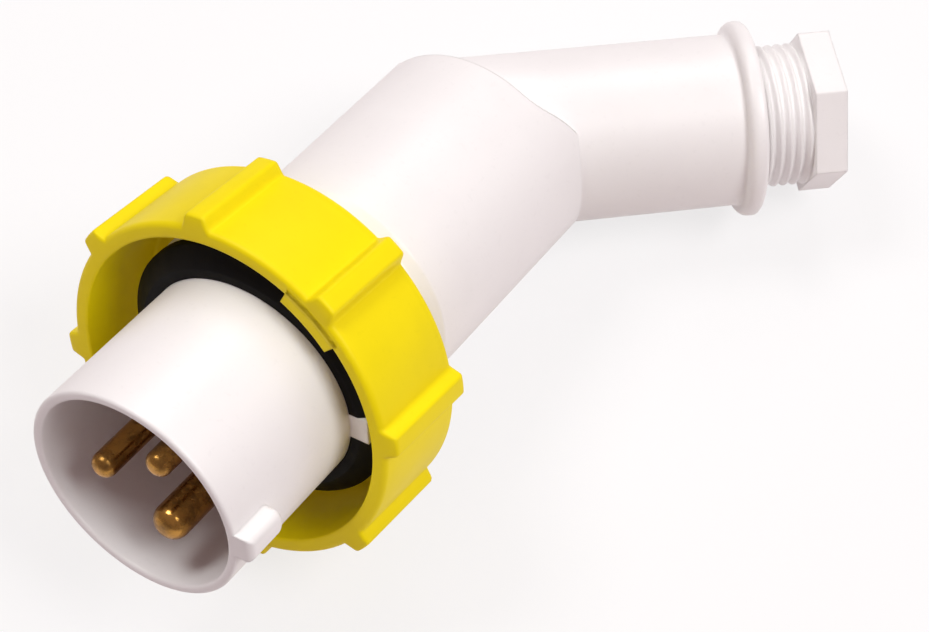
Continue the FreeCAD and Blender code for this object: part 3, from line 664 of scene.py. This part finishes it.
class Web:
    """A geometry tree under construction, with its named inputs."""

    # Socket kind by an input's last word; the other inputs are plain numbers
    kinds = {"Count": "Int", "Finish": "Material", "Lug": "Object"}

    def __init__(self, name, *labels):
        self.tree = bpy.data.node_groups.new(name, "GeometryNodeTree")
        face = self.tree.interface
        face.new_socket("Geometry", in_out="INPUT", socket_type="NodeSocketGeometry")
        for label in labels + ("Finish",):
            kind = self.kinds.get(label.split()[-1], "Float")
            face.new_socket(label, in_out="INPUT", socket_type="NodeSocket" + kind)
        face.new_socket("Geometry", in_out="OUTPUT", socket_type="NodeSocketGeometry")
        self.entry = self.tree.nodes.new("NodeGroupInput")
        self.leave = self.tree.nodes.new("NodeGroupOutput")
        place = self["Geometry"].out("GeometryNodeInputPosition")
        split = place.node("ShaderNodeSeparateXYZ", None, place)
        self.x, self.y, self.z = (Wire(self.tree, socket) for socket in split.outputs)
        self.radius = (self.x * self.x + self.z * self.z).maths("SQRT")
        self.turn = self.z.maths("ARCTAN2", self.x)

    def __getitem__(self, label):
        return Wire(self.tree, self.entry.outputs[label])

    def pushed_out(self, amount):
        """Move the points away from Y by an amount."""
        share = amount / self.radius
        shift = share.out("ShaderNodeCombineXYZ", None, self.x * share, 0.0, self.z * share)
        return shift.out("GeometryNodeSetPosition", None, Geometry=self["Geometry"],
                         Offset=shift)

    def close(self, geometry):
        """Realize, set the material and hand the geometry over."""
        real = geometry.out("GeometryNodeRealizeInstances", None, geometry)
        done = real.out("GeometryNodeSetMaterial", None, Geometry=real,
                        Material=self["Finish"])
        self.tree.links.new(done.socket, self.leave.inputs[0])
        return self.tree


def grown(made, tree, **values):
    """Run a geometry tree on a piece with its inputs set, and keep the mesh."""
    step = made.modifiers.new(tree.name, "NODES")
    step.node_group = tree
    for item in tree.interface.items_tree:
        label = item.name.replace(" ", "_")
        if item.in_out == "INPUT" and label in values:
            step[item.identifier] = values[label]
    return settled(made)


# Share of its height that a rib's crown loses one foot's width from its middle, and how far
# below the ring's outside, in millimetres, points are still pushed out in full
RIB_CROWN = 0.25
RIB_SKIN = 0.35
# In pitches of the thread: its run-in and run-out
RUN_IN = 0.6
RUN_OUT = 0.25
# In half pitches from a crest's middle: where the flat crest ends and the flat root starts
CREST = 0.12
ROOT = 0.88
# In depths of the thread: where its skin starts and where it is whole
SKIN_START = 1.4
SKIN_WHOLE = 1.2


def ring_tree():
    """Ribs that rise smoothly out of the ring, and lugs set round its bore."""
    web = Web("Ring ribs and lugs", "Rib Count", "Rib Height", "Rib Base", "Rib Crest",
              "Ring Radius", "Ring Bore", "Lug", "Lug Count")
    step = 2 * math.pi / web["Rib Count"]
    away = web.turn.maths("WRAP", step * 0.5, step * -0.5).maths("ABSOLUTE") * web["Ring Radius"]
    flank = away.rise(web["Rib Base"] * 0.5, web["Rib Crest"] * 0.5)
    crown = away / web["Rib Base"]
    height = flank * web["Rib Height"] * (1.0 - crown * crown * RIB_CROWN)
    wall = (web["Ring Radius"] + web["Ring Bore"]) * 0.5
    outer = web.radius.rise(wall, web["Ring Radius"] - RIB_SKIN, soft=False)
    body = web.pushed_out(height * outer)

    points = body.out("GeometryNodePoints", None, web["Lug Count"])
    lug = body.out("GeometryNodeObjectInfo", None, web["Lug"], result="Geometry")
    spread = body.out("GeometryNodeInputIndex") * (2 * math.pi / web["Lug Count"])
    spin = spread.out("ShaderNodeCombineXYZ", None, 0.0, spread, 0.0)
    lugs = body.out("GeometryNodeInstanceOnPoints", None, Points=points, Instance=lug,
                    Rotation=spin)
    joined = body.node("GeometryNodeJoinGeometry")
    for part in (body, lugs):
        web.tree.links.new(part.socket, joined.inputs[0])
    return web.close(Wire(web.tree, joined.outputs[0]))


def thread_tree():
    """Helical thread cut into a plain shank."""
    web = Web("Gland thread", "Pitch", "Depth", "Start", "End", "Radius")
    lead = web.y / web["Pitch"] + web.turn / (2 * math.pi)
    side = (lead.maths("FRACT") * 2.0 - 1.0).maths("ABSOLUTE")
    fade_in = web.y.rise(web["Start"], web["Start"] + web["Pitch"] * RUN_IN, soft=False)
    fade_out = web.y.rise(web["End"], web["End"] - web["Pitch"] * RUN_OUT, soft=False)
    depth = side.rise(CREST, ROOT) * web["Depth"] * -1.0
    outer = web.radius.rise(web["Radius"] - web["Depth"] * SKIN_START,
                            web["Radius"] - web["Depth"] * SKIN_WHOLE, soft=False)
    return web.close(web.pushed_out(depth * fade_in * fade_out * outer))


# Pieces

# Each pin's angle round the axis, in degrees from X towards Z
PIN_TURNS = {"phase_pin_1": 180.0, "phase_pin_2": 60.0, "earth_pin": 300.0}


def pin_places(at):
    """Name, radius and place of each pin."""
    out = Matrix.Translation((at.pin_circle, 0, 0))
    return [(name, at.earth_pin if name == "earth_pin" else at.thin_pin, turned(turn) @ out)
            for name, turn in PIN_TURNS.items()]


class PLUG_OT_sleeve(bpy.types.Operator):
    """Sleeve with its key, its tab and the floor that holds the pins"""
    bl_idname = "plug.sleeve"
    bl_label = "Sleeve"
    bl_options = {"REGISTER", "UNDO"}

    mouth_rounding = 0.65
    flange_edge = 0.3
    spigot_edge = 0.4
    spigot_corner = 0.6
    floor_corner = 1.2
    # The rounded end's length as a share of the key's width, the bevel's as one of its rounding
    key_end = 0.36
    key_end_steps = 12
    key_bevel = 0.75
    key_bevel_steps = 6

    def execute(self, context):
        at = measured(context.scene.plug_sizes)
        spigot_bore = at.spigot_radius - at.spigot_wall
        shell = solid("sleeve", spun([
            (at.sleeve_bore, 0, self.mouth_rounding), (at.sleeve_radius, 0, self.mouth_rounding),
            (at.sleeve_radius, at.flange_front, 0),
            (at.flange_radius, at.flange_front, self.flange_edge),
            (at.flange_radius, at.flange_back, self.flange_edge),
            (at.spigot_radius, at.flange_back, 0),
            (at.spigot_radius, at.spigot_end, self.spigot_edge),
            (spigot_bore, at.spigot_end, self.spigot_edge),
            (spigot_bore, at.floor_back, self.spigot_corner),
            (0, at.floor_back, 0), (0, at.floor_front, 0),
            (at.sleeve_bore, at.floor_front, self.floor_corner)]))
        combined(shell, solid("key", self.key(at)), "UNION")
        half = at.tab_width / 2
        tab = box((at.sleeve_middle, at.flange_radius - at.tab_inset),
                  (at.seal_front, at.flange_front + at.flange_thickness / 2), (-half, half))
        combined(shell, solid("tab", tab), "UNION")
        for name, radius, place in pin_places(at):
            drilled(shell, [place],
                    (radius + at.pin_step, at.floor_front - OVERCUT, at.floor_back - at.pin_seat),
                    (radius + at.pin_collar, at.floor_back - at.pin_seat,
                     at.floor_back + OVERCUT))
        laid(shell, plug_axes(), "housing",
             dressing(context.scene.plug_colours)["pale_moulding"], "shell_plastic",
             "front_shell")
        return {"FINISHED"}

    def key(self, at):
        """Rib with a rounded end and crest, along the sleeve from its mouth."""
        half = at.key_width / 2
        bulge = at.key_width * self.key_end
        plan = [(-half, 0.0), (half, 0.0)]
        plan += [(math.cos(turn) * half, at.key_length - bulge + math.sin(turn) * bulge)
                 for turn in (math.pi * step / self.key_end_steps
                              for step in range(self.key_end_steps + 1))]
        key = bmesh.new()
        low = [key.verts.new((at.sleeve_middle, y, z)) for z, y in plan]
        high = [key.verts.new((at.sleeve_radius + at.key_height, y, z)) for z, y in plan]
        key.faces.new(low)
        crest = key.faces.new(high)
        for index in range(len(plan)):
            after = (index + 1) % len(plan)
            key.faces.new((low[index], low[after], high[after], high[index]))
        bmesh.ops.recalc_face_normals(key, faces=key.faces)
        bmesh.ops.bevel(key, geom=list(crest.edges), offset=at.key_rounding * self.key_bevel,
                        segments=self.key_bevel_steps, profile=0.5, affect="EDGES")
        return closed(key)


class PLUG_OT_pins(bpy.types.Operator):
    """Two thin pins and the thicker earth pin"""
    bl_idname = "plug.pins"
    bl_label = "Pins"
    bl_options = {"REGISTER", "UNDO"}

    tip_share = 0.8
    stem_corner = 0.05
    stem_edge = 0.1
    collar_edge = 0.2
    barrel_edge = 0.3
    wire_edge = 0.2

    def execute(self, context):
        at = measured(context.scene.plug_sizes)
        finish = dressing(context.scene.plug_colours)["turned_brass"]
        seat = at.floor_back - at.pin_seat
        hole_end = at.barrel_end - at.wire_depth
        clamp = Matrix.Translation((0, at.barrel_end - at.clamp_setback, 0)) @ \
            Matrix.Rotation(math.radians(-90), 4, "Z")
        for name, radius, place in pin_places(at):
            stem = radius + at.pin_step
            collar = radius + at.pin_collar
            pin = solid("brass_" + name, spun([
                (0, at.pin_recess, 0), (radius, at.pin_recess, radius * self.tip_share),
                (radius, at.floor_front, self.stem_corner),
                (stem, at.floor_front, self.stem_edge), (stem, seat, 0),
                (collar, seat, self.collar_edge), (collar, at.floor_back, self.collar_edge),
                (radius, at.floor_back, 0), (radius, at.barrel_start, 0),
                (at.barrel_radius, at.barrel_start, self.barrel_edge),
                (at.barrel_radius, at.barrel_end, self.barrel_edge),
                (at.wire_bore, at.barrel_end, self.wire_edge),
                (at.wire_bore, hole_end, 0), (0, hole_end, 0)]))
            drilled(pin, [clamp], (at.clamp_radius, 0, at.barrel_radius + OVERCUT))
            pin.data.transform(place)
            laid(pin, plug_axes(), "housing", finish, "pin_brass", name)
        return {"FINISHED"}


class PLUG_OT_seal(bpy.types.Operator):
    """Black face seal round the sleeve, open at the tab"""
    bl_idname = "plug.seal"
    bl_label = "Face seal"
    bl_options = {"REGISTER", "UNDO"}

    gap = 0.05
    rounding = 0.5
    inner_edge = 0.2
    outer_edge = 0.3

    def execute(self, context):
        at = measured(context.scene.plug_sizes)
        inner = at.sleeve_radius + self.gap
        seal = solid("face_seal", spun([
            (inner, at.seal_front, self.inner_edge),
            (at.seal_flat, at.seal_front, self.rounding),
            (at.seal_radius, at.seal_front + at.seal_drop, self.rounding),
            (at.seal_radius, at.flange_front, self.outer_edge), (inner, at.flange_front, 0)]))
        half = at.tab_width / 2 + self.gap
        notch = box((inner / 2, at.flange_radius),
                    (at.seal_front - OVERCUT, at.flange_front + OVERCUT), (-half, half))
        combined(seal, solid("notch", notch), "DIFFERENCE")
        laid(seal, plug_axes(), "housing", dressing(context.scene.plug_colours)["black_rubber"],
             "seal_rubber", "face_gasket")
        return {"FINISHED"}


class PLUG_OT_ring(bpy.types.Operator):
    """Yellow coupling ring with its ribs and its bayonet lugs"""
    bl_idname = "plug.ring"
    bl_label = "Coupling ring"
    bl_options = {"REGISTER", "UNDO"}

    mouth_edge = 0.5
    lip_edge = 0.4
    lip_corner = 0.8
    lug_edge = 0.5
    lug_steps = 40

    def execute(self, context):
        at = measured(context.scene.plug_sizes)
        finish = dressing(context.scene.plug_colours)["yellow_moulding"]
        lip_front = at.ring_back - at.lip_thickness
        ring = solid("yellow_ring", spun([
            (at.ring_bore, at.ring_front, self.mouth_edge),
            (at.ring_radius, at.ring_front, at.ring_edge),
            (at.ring_radius, at.ring_back, at.ring_edge),
            (at.lip_radius, at.ring_back, self.lip_edge),
            (at.lip_radius, lip_front, self.lip_edge),
            (at.ring_bore, lip_front, self.lip_corner)], AROUND_RING))
        top = at.ring_bore - at.lug_height
        foot = (at.ring_bore + at.ring_radius) / 2
        end = at.ring_front + at.lug_length
        half = at.lug_span / 2
        lug = solid("lug", spun([
            (top, at.ring_front, self.lug_edge), (foot, at.ring_front, 0), (foot, end, 0),
            (top, end, self.lug_edge)], self.lug_steps, (-half, half)))
        grown(ring, ring_tree(), Rib_Count=at.rib_count, Rib_Height=at.rib_height,
              Rib_Base=at.rib_base, Rib_Crest=at.rib_crest, Ring_Radius=at.ring_radius,
              Ring_Bore=at.ring_bore, Lug=lug, Lug_Count=at.lug_count, Finish=finish)
        discarded(lug)
        laid(ring, ring_axes(at), "coupling_ring", finish, "ring_plastic", "coupling_ring")
        return {"FINISHED"}


class PLUG_OT_housing(bpy.types.Operator):
    """Elbow housing: neck, body, tail and collar in one moulding"""
    bl_idname = "plug.housing"
    bl_label = "Elbow housing"
    bl_options = {"REGISTER", "UNDO"}

    spigot_gap = 0.2
    rim_edge = 0.3
    rim_corner = 0.4
    neck_corner = 0.5
    shoulder_rounding = 8.0
    tail_corner = 0.6
    mouth_edge = 0.3
    mouth_chamfer = 0.6
    cavity_corner = 2.0
    trim_steps = 170
    trim_from = 95.0
    trim_to = 265.0

    def execute(self, context):
        at = measured(context.scene.plug_sizes)
        housing = solid("elbow", spun([
            (0, at.flange_back, 0), (at.rim_radius, at.flange_back, self.rim_edge),
            (at.rim_radius, at.rim_back, self.rim_edge),
            (at.neck_radius, at.rim_back, self.rim_corner),
            (at.neck_radius, at.neck_end, self.neck_corner),
            (at.body_radius, at.neck_stop, self.neck_corner),
            (at.body_radius, at.body_top, 0), (0, at.body_top, 0)]))
        self.cut_end(housing, at)
        combined(housing, self.tail(at), "UNION")
        self.hollow(housing, at)
        laid(housing, plug_axes(), "housing",
             dressing(context.scene.plug_colours)["pale_moulding"], "housing_plastic",
             "elbow_housing")
        return {"FINISHED"}

    def cut_end(self, housing, at):
        """The body ends flat outside the bend, and inside it the end climbs along the tail."""
        side = at.body_radius + OVERCUT
        peak = at.body_top + OVERCUT * at.climb
        corners = rounded([
            (-side, at.body_end, 0), (at.shoulder, at.body_end, self.shoulder_rounding),
            (side, peak, 0), (side, peak + OVERCUT, 0), (-side, peak + OVERCUT, 0)])
        upright = Matrix.Rotation(math.radians(90), 4, "X")
        above = prism([(x, -y) for x, y in corners], -side, side)
        combined(housing, solid("above", above, upright), "DIFFERENCE")

    def tail(self, at):
        """Tail and collar, without what would reach out of the body's round side."""
        mouth = at.tail_thread + at.collar_land
        tail = solid("tail", spun([
            (0, -at.tail_back, 0), (at.tail_root, -at.tail_back, 0),
            (at.tail_tip, at.collar_start, self.tail_corner),
            (at.collar_radius, at.collar_start, at.collar_height - at.collar_foot),
            (at.collar_radius, at.collar_rear, at.collar_rounding),
            (mouth, at.collar_end, self.mouth_edge), (0, at.collar_end, 0)]), bent(at))
        far = at.body_radius + 2 * at.tail_root
        high = at.body_end + at.tail_root
        spare = spun([
            (at.body_radius, at.neck_stop, 0), (far, at.neck_stop, 0), (far, high, 0),
            (at.body_radius, high, 0)], self.trim_steps, (self.trim_from, self.trim_to))
        return combined(tail, solid("spare", spare), "DIFFERENCE")

    def hollow(self, housing, at):
        """Room for the terminals, and the tail's bore with its seat and its mouth."""
        spigot = at.spigot_radius + self.spigot_gap
        neck_bore = at.neck_radius - at.housing_wall
        body_bore = at.body_radius - at.housing_wall
        end = at.body_end - at.housing_wall
        cavity = spun([
            (0, at.flange_back - OVERCUT, 0), (spigot, at.flange_back - OVERCUT, 0),
            (spigot, at.spigot_end, 0), (neck_bore, at.spigot_end, 0),
            (neck_bore, at.neck_stop, 0), (body_bore, at.neck_stop + at.neck_slope, 0),
            (body_bore, end, self.cavity_corner), (0, end, 0)])
        combined(housing, solid("cavity", cavity), "DIFFERENCE")
        bore = spun([
            (0, -at.tail_bore_back, 0), (at.tail_bore, -at.tail_bore_back, 0),
            (at.tail_bore, at.seat_start, 0),
            (at.tail_thread, at.seat_start + at.seat_slope, 0),
            (at.tail_thread, at.collar_end - self.mouth_chamfer, 0),
            (at.tail_thread + self.mouth_chamfer, at.collar_end, 0),
            (at.tail_thread + self.mouth_chamfer, at.collar_end + OVERCUT, 0),
            (0, at.collar_end + OVERCUT, 0)])
        combined(housing, solid("bore", bore, bent(at)), "DIFFERENCE")


class PLUG_OT_gland(bpy.types.Operator):
    """Hollow gland screw with a cut thread and a hexagonal head"""
    bl_idname = "plug.gland"
    bl_label = "Gland screw"
    bl_options = {"REGISTER", "UNDO"}

    rows_per_pitch = 12
    washer_play = 0.02

    def execute(self, context):
        at = measured(context.scene.plug_sizes)
        finish = dressing(context.scene.plug_colours)["pale_moulding"]
        front = at.shank_front + self.washer_play
        lead_in = at.shank_front + at.thread_pitch / 2
        rows = int(at.shank_length / at.thread_pitch * self.rows_per_pitch)
        stations = [(at.thread_radius, lead_in + (at.hex_front - lead_in) * row / rows, 0)
                    for row in range(rows + 1)]
        screw = solid("gland", spun(
            [(at.cord_bore, front, 0),
             (at.thread_radius - at.thread_pitch / 2, front, 0)] + stations +
            [(at.cord_bore, at.hex_front, 0)]))
        grown(screw, thread_tree(), Pitch=at.thread_pitch, Depth=at.thread_depth, Start=lead_in,
              End=at.hex_front, Radius=at.thread_radius, Finish=finish)
        combined(screw, self.head(at), "UNION")
        laid(screw, plug_axes() @ in_metres(bent(at)), "gland_screw", finish, "gland_plastic",
             "gland_screw")
        return {"FINISHED"}

    def head(self, at):
        """Hexagon with the hole for the cord."""
        corners = [(at.hex_corner * math.cos(turn), at.hex_corner * math.sin(turn)) for turn in
                   (math.radians(at.hex_turn + 60 * side) for side in range(6))]
        head = solid("head", prism(corners, at.hex_front, at.hex_back))
        hole_mouth = at.hex_back - at.hex_chamfer
        drilled(head, [Matrix.Identity(4)],
                (at.cord_bore, at.hex_front - OVERCUT, hole_mouth),
                (at.cord_bore + at.hex_chamfer + OVERCUT, at.hex_back + OVERCUT,
                 at.hex_back + OVERCUT))
        return head


class PLUG_OT_inner_pieces(bpy.types.Operator):
    """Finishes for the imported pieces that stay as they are: screws, seals, washer and plate"""
    bl_idname = "plug.inner_pieces"
    bl_label = "Inner pieces"
    bl_options = {"REGISTER", "UNDO"}

    finishes = {"housing_seal": "black_rubber", "gland_grommet": "black_rubber",
                "gland_washer": "insulator_moulding", "pin_retainer": "insulator_moulding"}

    def execute(self, context):
        store = dressing(context.scene.plug_colours)
        for name, node in frame["nodes"].items():
            finish = self.finishes.get(name, "plated_steel" if "screw_" in name else None)
            if finish:
                node.data.materials.clear()
                node.data.materials.append(store[finish])
        return {"FINISHED"}


# Studio

# Where the camera stands in the plug's own axes, in millimetres and degrees, its focal length
# in pixels of a picture of this width, and its sensor in millimetres
EYE = (193.73, -185.0, 280.54)
EYE_TURN = (47.3234, 1.2373, 32.7852)
FOCAL_PIXELS = 2244.6
PHOTO_WIDTH = 929
SENSOR = 36.0

# Each lamp's way from its aim, along the camera's axes, and its size, both in metres; then its
# power in watts and its colour
LAMPS = (
    # name, right, up, near, size, power, colour
    ("key_lamp", -0.42, 0.66, 0.72, 0.4, 4.6, (0.99, 1.0, 0.99)),
    ("top_lamp", 0.1, 0.95, 0.35, 0.5, 1.9, (0.99, 1.0, 0.99)),
    ("side_lamp", 0.56, 0.22, 0.85, 0.5, 6.5, (0.99, 1.0, 0.995)),
)
# Dim light that comes from all sides
SKY = (1.0, 0.64, 0.66, 1.0)
SKY_STRENGTH = 0.23
WHITE = (1.0, 1.0, 1.0, 1.0)
# Share of plain white that the camera, gloss and clear pieces see
WHITE_IN_FLOOR = (0.75, 0.4, 0.75)
WHITE_IN_SKY = (1.0, 0.2, 1.0)
# In metres: what the lamps look at above the floor, half the floor's side, what the camera sees
AIM_HEIGHT = 0.03
FLOOR_REACH = 3.0
NEAREST = 0.02
FARTHEST = 20.0


class PLUG_OT_studio(bpy.types.Operator):
    """Pale floor, soft lamps, white surroundings and the camera"""
    bl_idname = "plug.studio"
    bl_label = "Studio"
    bl_options = {"REGISTER", "UNDO"}

    def execute(self, context):
        scene = context.scene
        scene.view_settings.view_transform = "Standard"
        turn = Euler([math.radians(value) for value in EYE_TURN]).to_matrix().to_4x4()
        eye = plug_axes() @ Matrix.Translation(Vector(EYE) * MM) @ turn
        lens = bpy.data.cameras.new("camera")
        lens.sensor_width = SENSOR
        lens.lens = FOCAL_PIXELS / PHOTO_WIDTH * SENSOR
        lens.clip_start = NEAREST
        lens.clip_end = FARTHEST
        scene.camera = bpy.data.objects.new("camera", lens)
        scene.collection.objects.link(scene.camera)
        scene.camera.matrix_world = eye

        target = Vector(((CAD_BOX[0][0] + CAD_BOX[1][0]) / 2, 0.0, AIM_HEIGHT))
        for name, right, up, near, size, power, shade in LAMPS:
            place = target + eye.to_3x3() @ Vector((right, up, near))
            self.lamp(scene, name, place, target, size, power, shade)

        ground = bmesh.new()
        bmesh.ops.create_grid(ground, x_segments=1, y_segments=1, size=FLOOR_REACH)
        floor = solid("floor", ground)
        floor.data.materials.append(self.pale_floor(scene.plug_colours))
        self.surroundings(scene)
        return {"FINISHED"}

    def lamp(self, scene, name, place, target, size, power, shade):
        """Round soft lamp that looks at a point."""
        data = bpy.data.lights.new(name, "AREA")
        data.shape = "DISK"
        data.size = size
        data.energy = power
        data.color = shade
        made = bpy.data.objects.new(name, data)
        scene.collection.objects.link(made)
        made.location = place
        made.rotation_euler = (target - place).to_track_quat("-Z", "Y").to_euler()

    def pale_floor(self, colours):
        """Pale ground that looks nearly white to the camera and in gloss, yet keeps a shadow."""
        finish = Finish("pale_floor", Roughness=0.9)
        cloud = finish.noise(FLOOR_CLOUDS, detail=2.0).rise(0.3, 0.7)
        finish.feed(Base_Color=blend(cloud, tint(colours.ground), tint(colours.ground, 0.99)))
        white = finish.place.out("ShaderNodeEmission", None, WHITE, 1.0)
        share = seen_share(finish.place, *WHITE_IN_FLOOR)
        surface = finish.tree.nodes["Material Output"].inputs["Surface"]
        mixed = share.node("ShaderNodeMixShader", None, share)
        finish.tree.links.new(finish.shader.outputs[0], mixed.inputs[1])
        finish.tree.links.new(white.socket, mixed.inputs[2])
        finish.tree.links.new(mixed.outputs[0], surface)
        return finish.material

    def surroundings(self, scene):
        """Dim warm light from all sides, white where the camera sees it."""
        world = bpy.data.worlds.new("surroundings")
        world.use_nodes = True
        scene.world = world
        tree = world.node_tree
        tree.nodes["Background"].inputs["Color"].default_value = SKY
        tree.nodes["Background"].inputs["Strength"].default_value = SKY_STRENGTH
        sky = Wire(tree, tree.nodes["Background"].outputs[0])
        white = sky.out("ShaderNodeBackground", None, WHITE, 1.0)
        share = seen_share(sky, *WHITE_IN_SKY)
        mixed = sky.out("ShaderNodeMixShader", None, share, sky, white)
        tree.links.new(mixed.socket, tree.nodes["World Output"].inputs["Surface"])


def seen_share(wire, camera, glossy, through):
    """How much of the white a ray sees, by its kind."""
    ray = wire.node("ShaderNodeLightPath")
    kinds = (("Is Camera Ray", camera), ("Is Glossy Ray", glossy),
             ("Is Transmission Ray", through))
    return sum(Wire(wire.tree, ray.outputs[kind]) * share for kind, share in kinds).limited()


class PLUG_PT_panel(bpy.types.Panel):
    """Lists the plug's pieces, sizes and colours"""
    bl_idname = "PLUG_PT_panel"
    bl_label = "Watertight plug"
    bl_space_type = "VIEW_3D"
    bl_region_type = "UI"
    bl_category = "Plug"

    def draw(self, context):
        for operator in OPERATORS:
            self.layout.operator(operator.bl_idname)
        for group in (context.scene.plug_sizes, context.scene.plug_colours):
            column = self.layout.column()
            for name in group.__annotations__:
                column.prop(group, name)


OPERATORS = (PLUG_OT_sleeve, PLUG_OT_pins, PLUG_OT_seal, PLUG_OT_ring, PLUG_OT_housing,
             PLUG_OT_gland, PLUG_OT_inner_pieces, PLUG_OT_studio)
CLASSES = (PlugSizes, PlugColours) + OPERATORS + (PLUG_PT_panel,)


def register():
    for each in CLASSES:
        bpy.utils.register_class(each)
    bpy.types.Scene.plug_sizes = PointerProperty(type=PlugSizes)
    bpy.types.Scene.plug_colours = PointerProperty(type=PlugColours)


def unregister():
    del bpy.types.Scene.plug_colours
    del bpy.types.Scene.plug_sizes
    for each in reversed(CLASSES):
        bpy.utils.unregister_class(each)


def main():
    register()
    for operator in OPERATORS:
        group, name = operator.bl_idname.split(".")
        getattr(getattr(bpy.ops, group), name)()


if __name__ == "__main__":
    main()
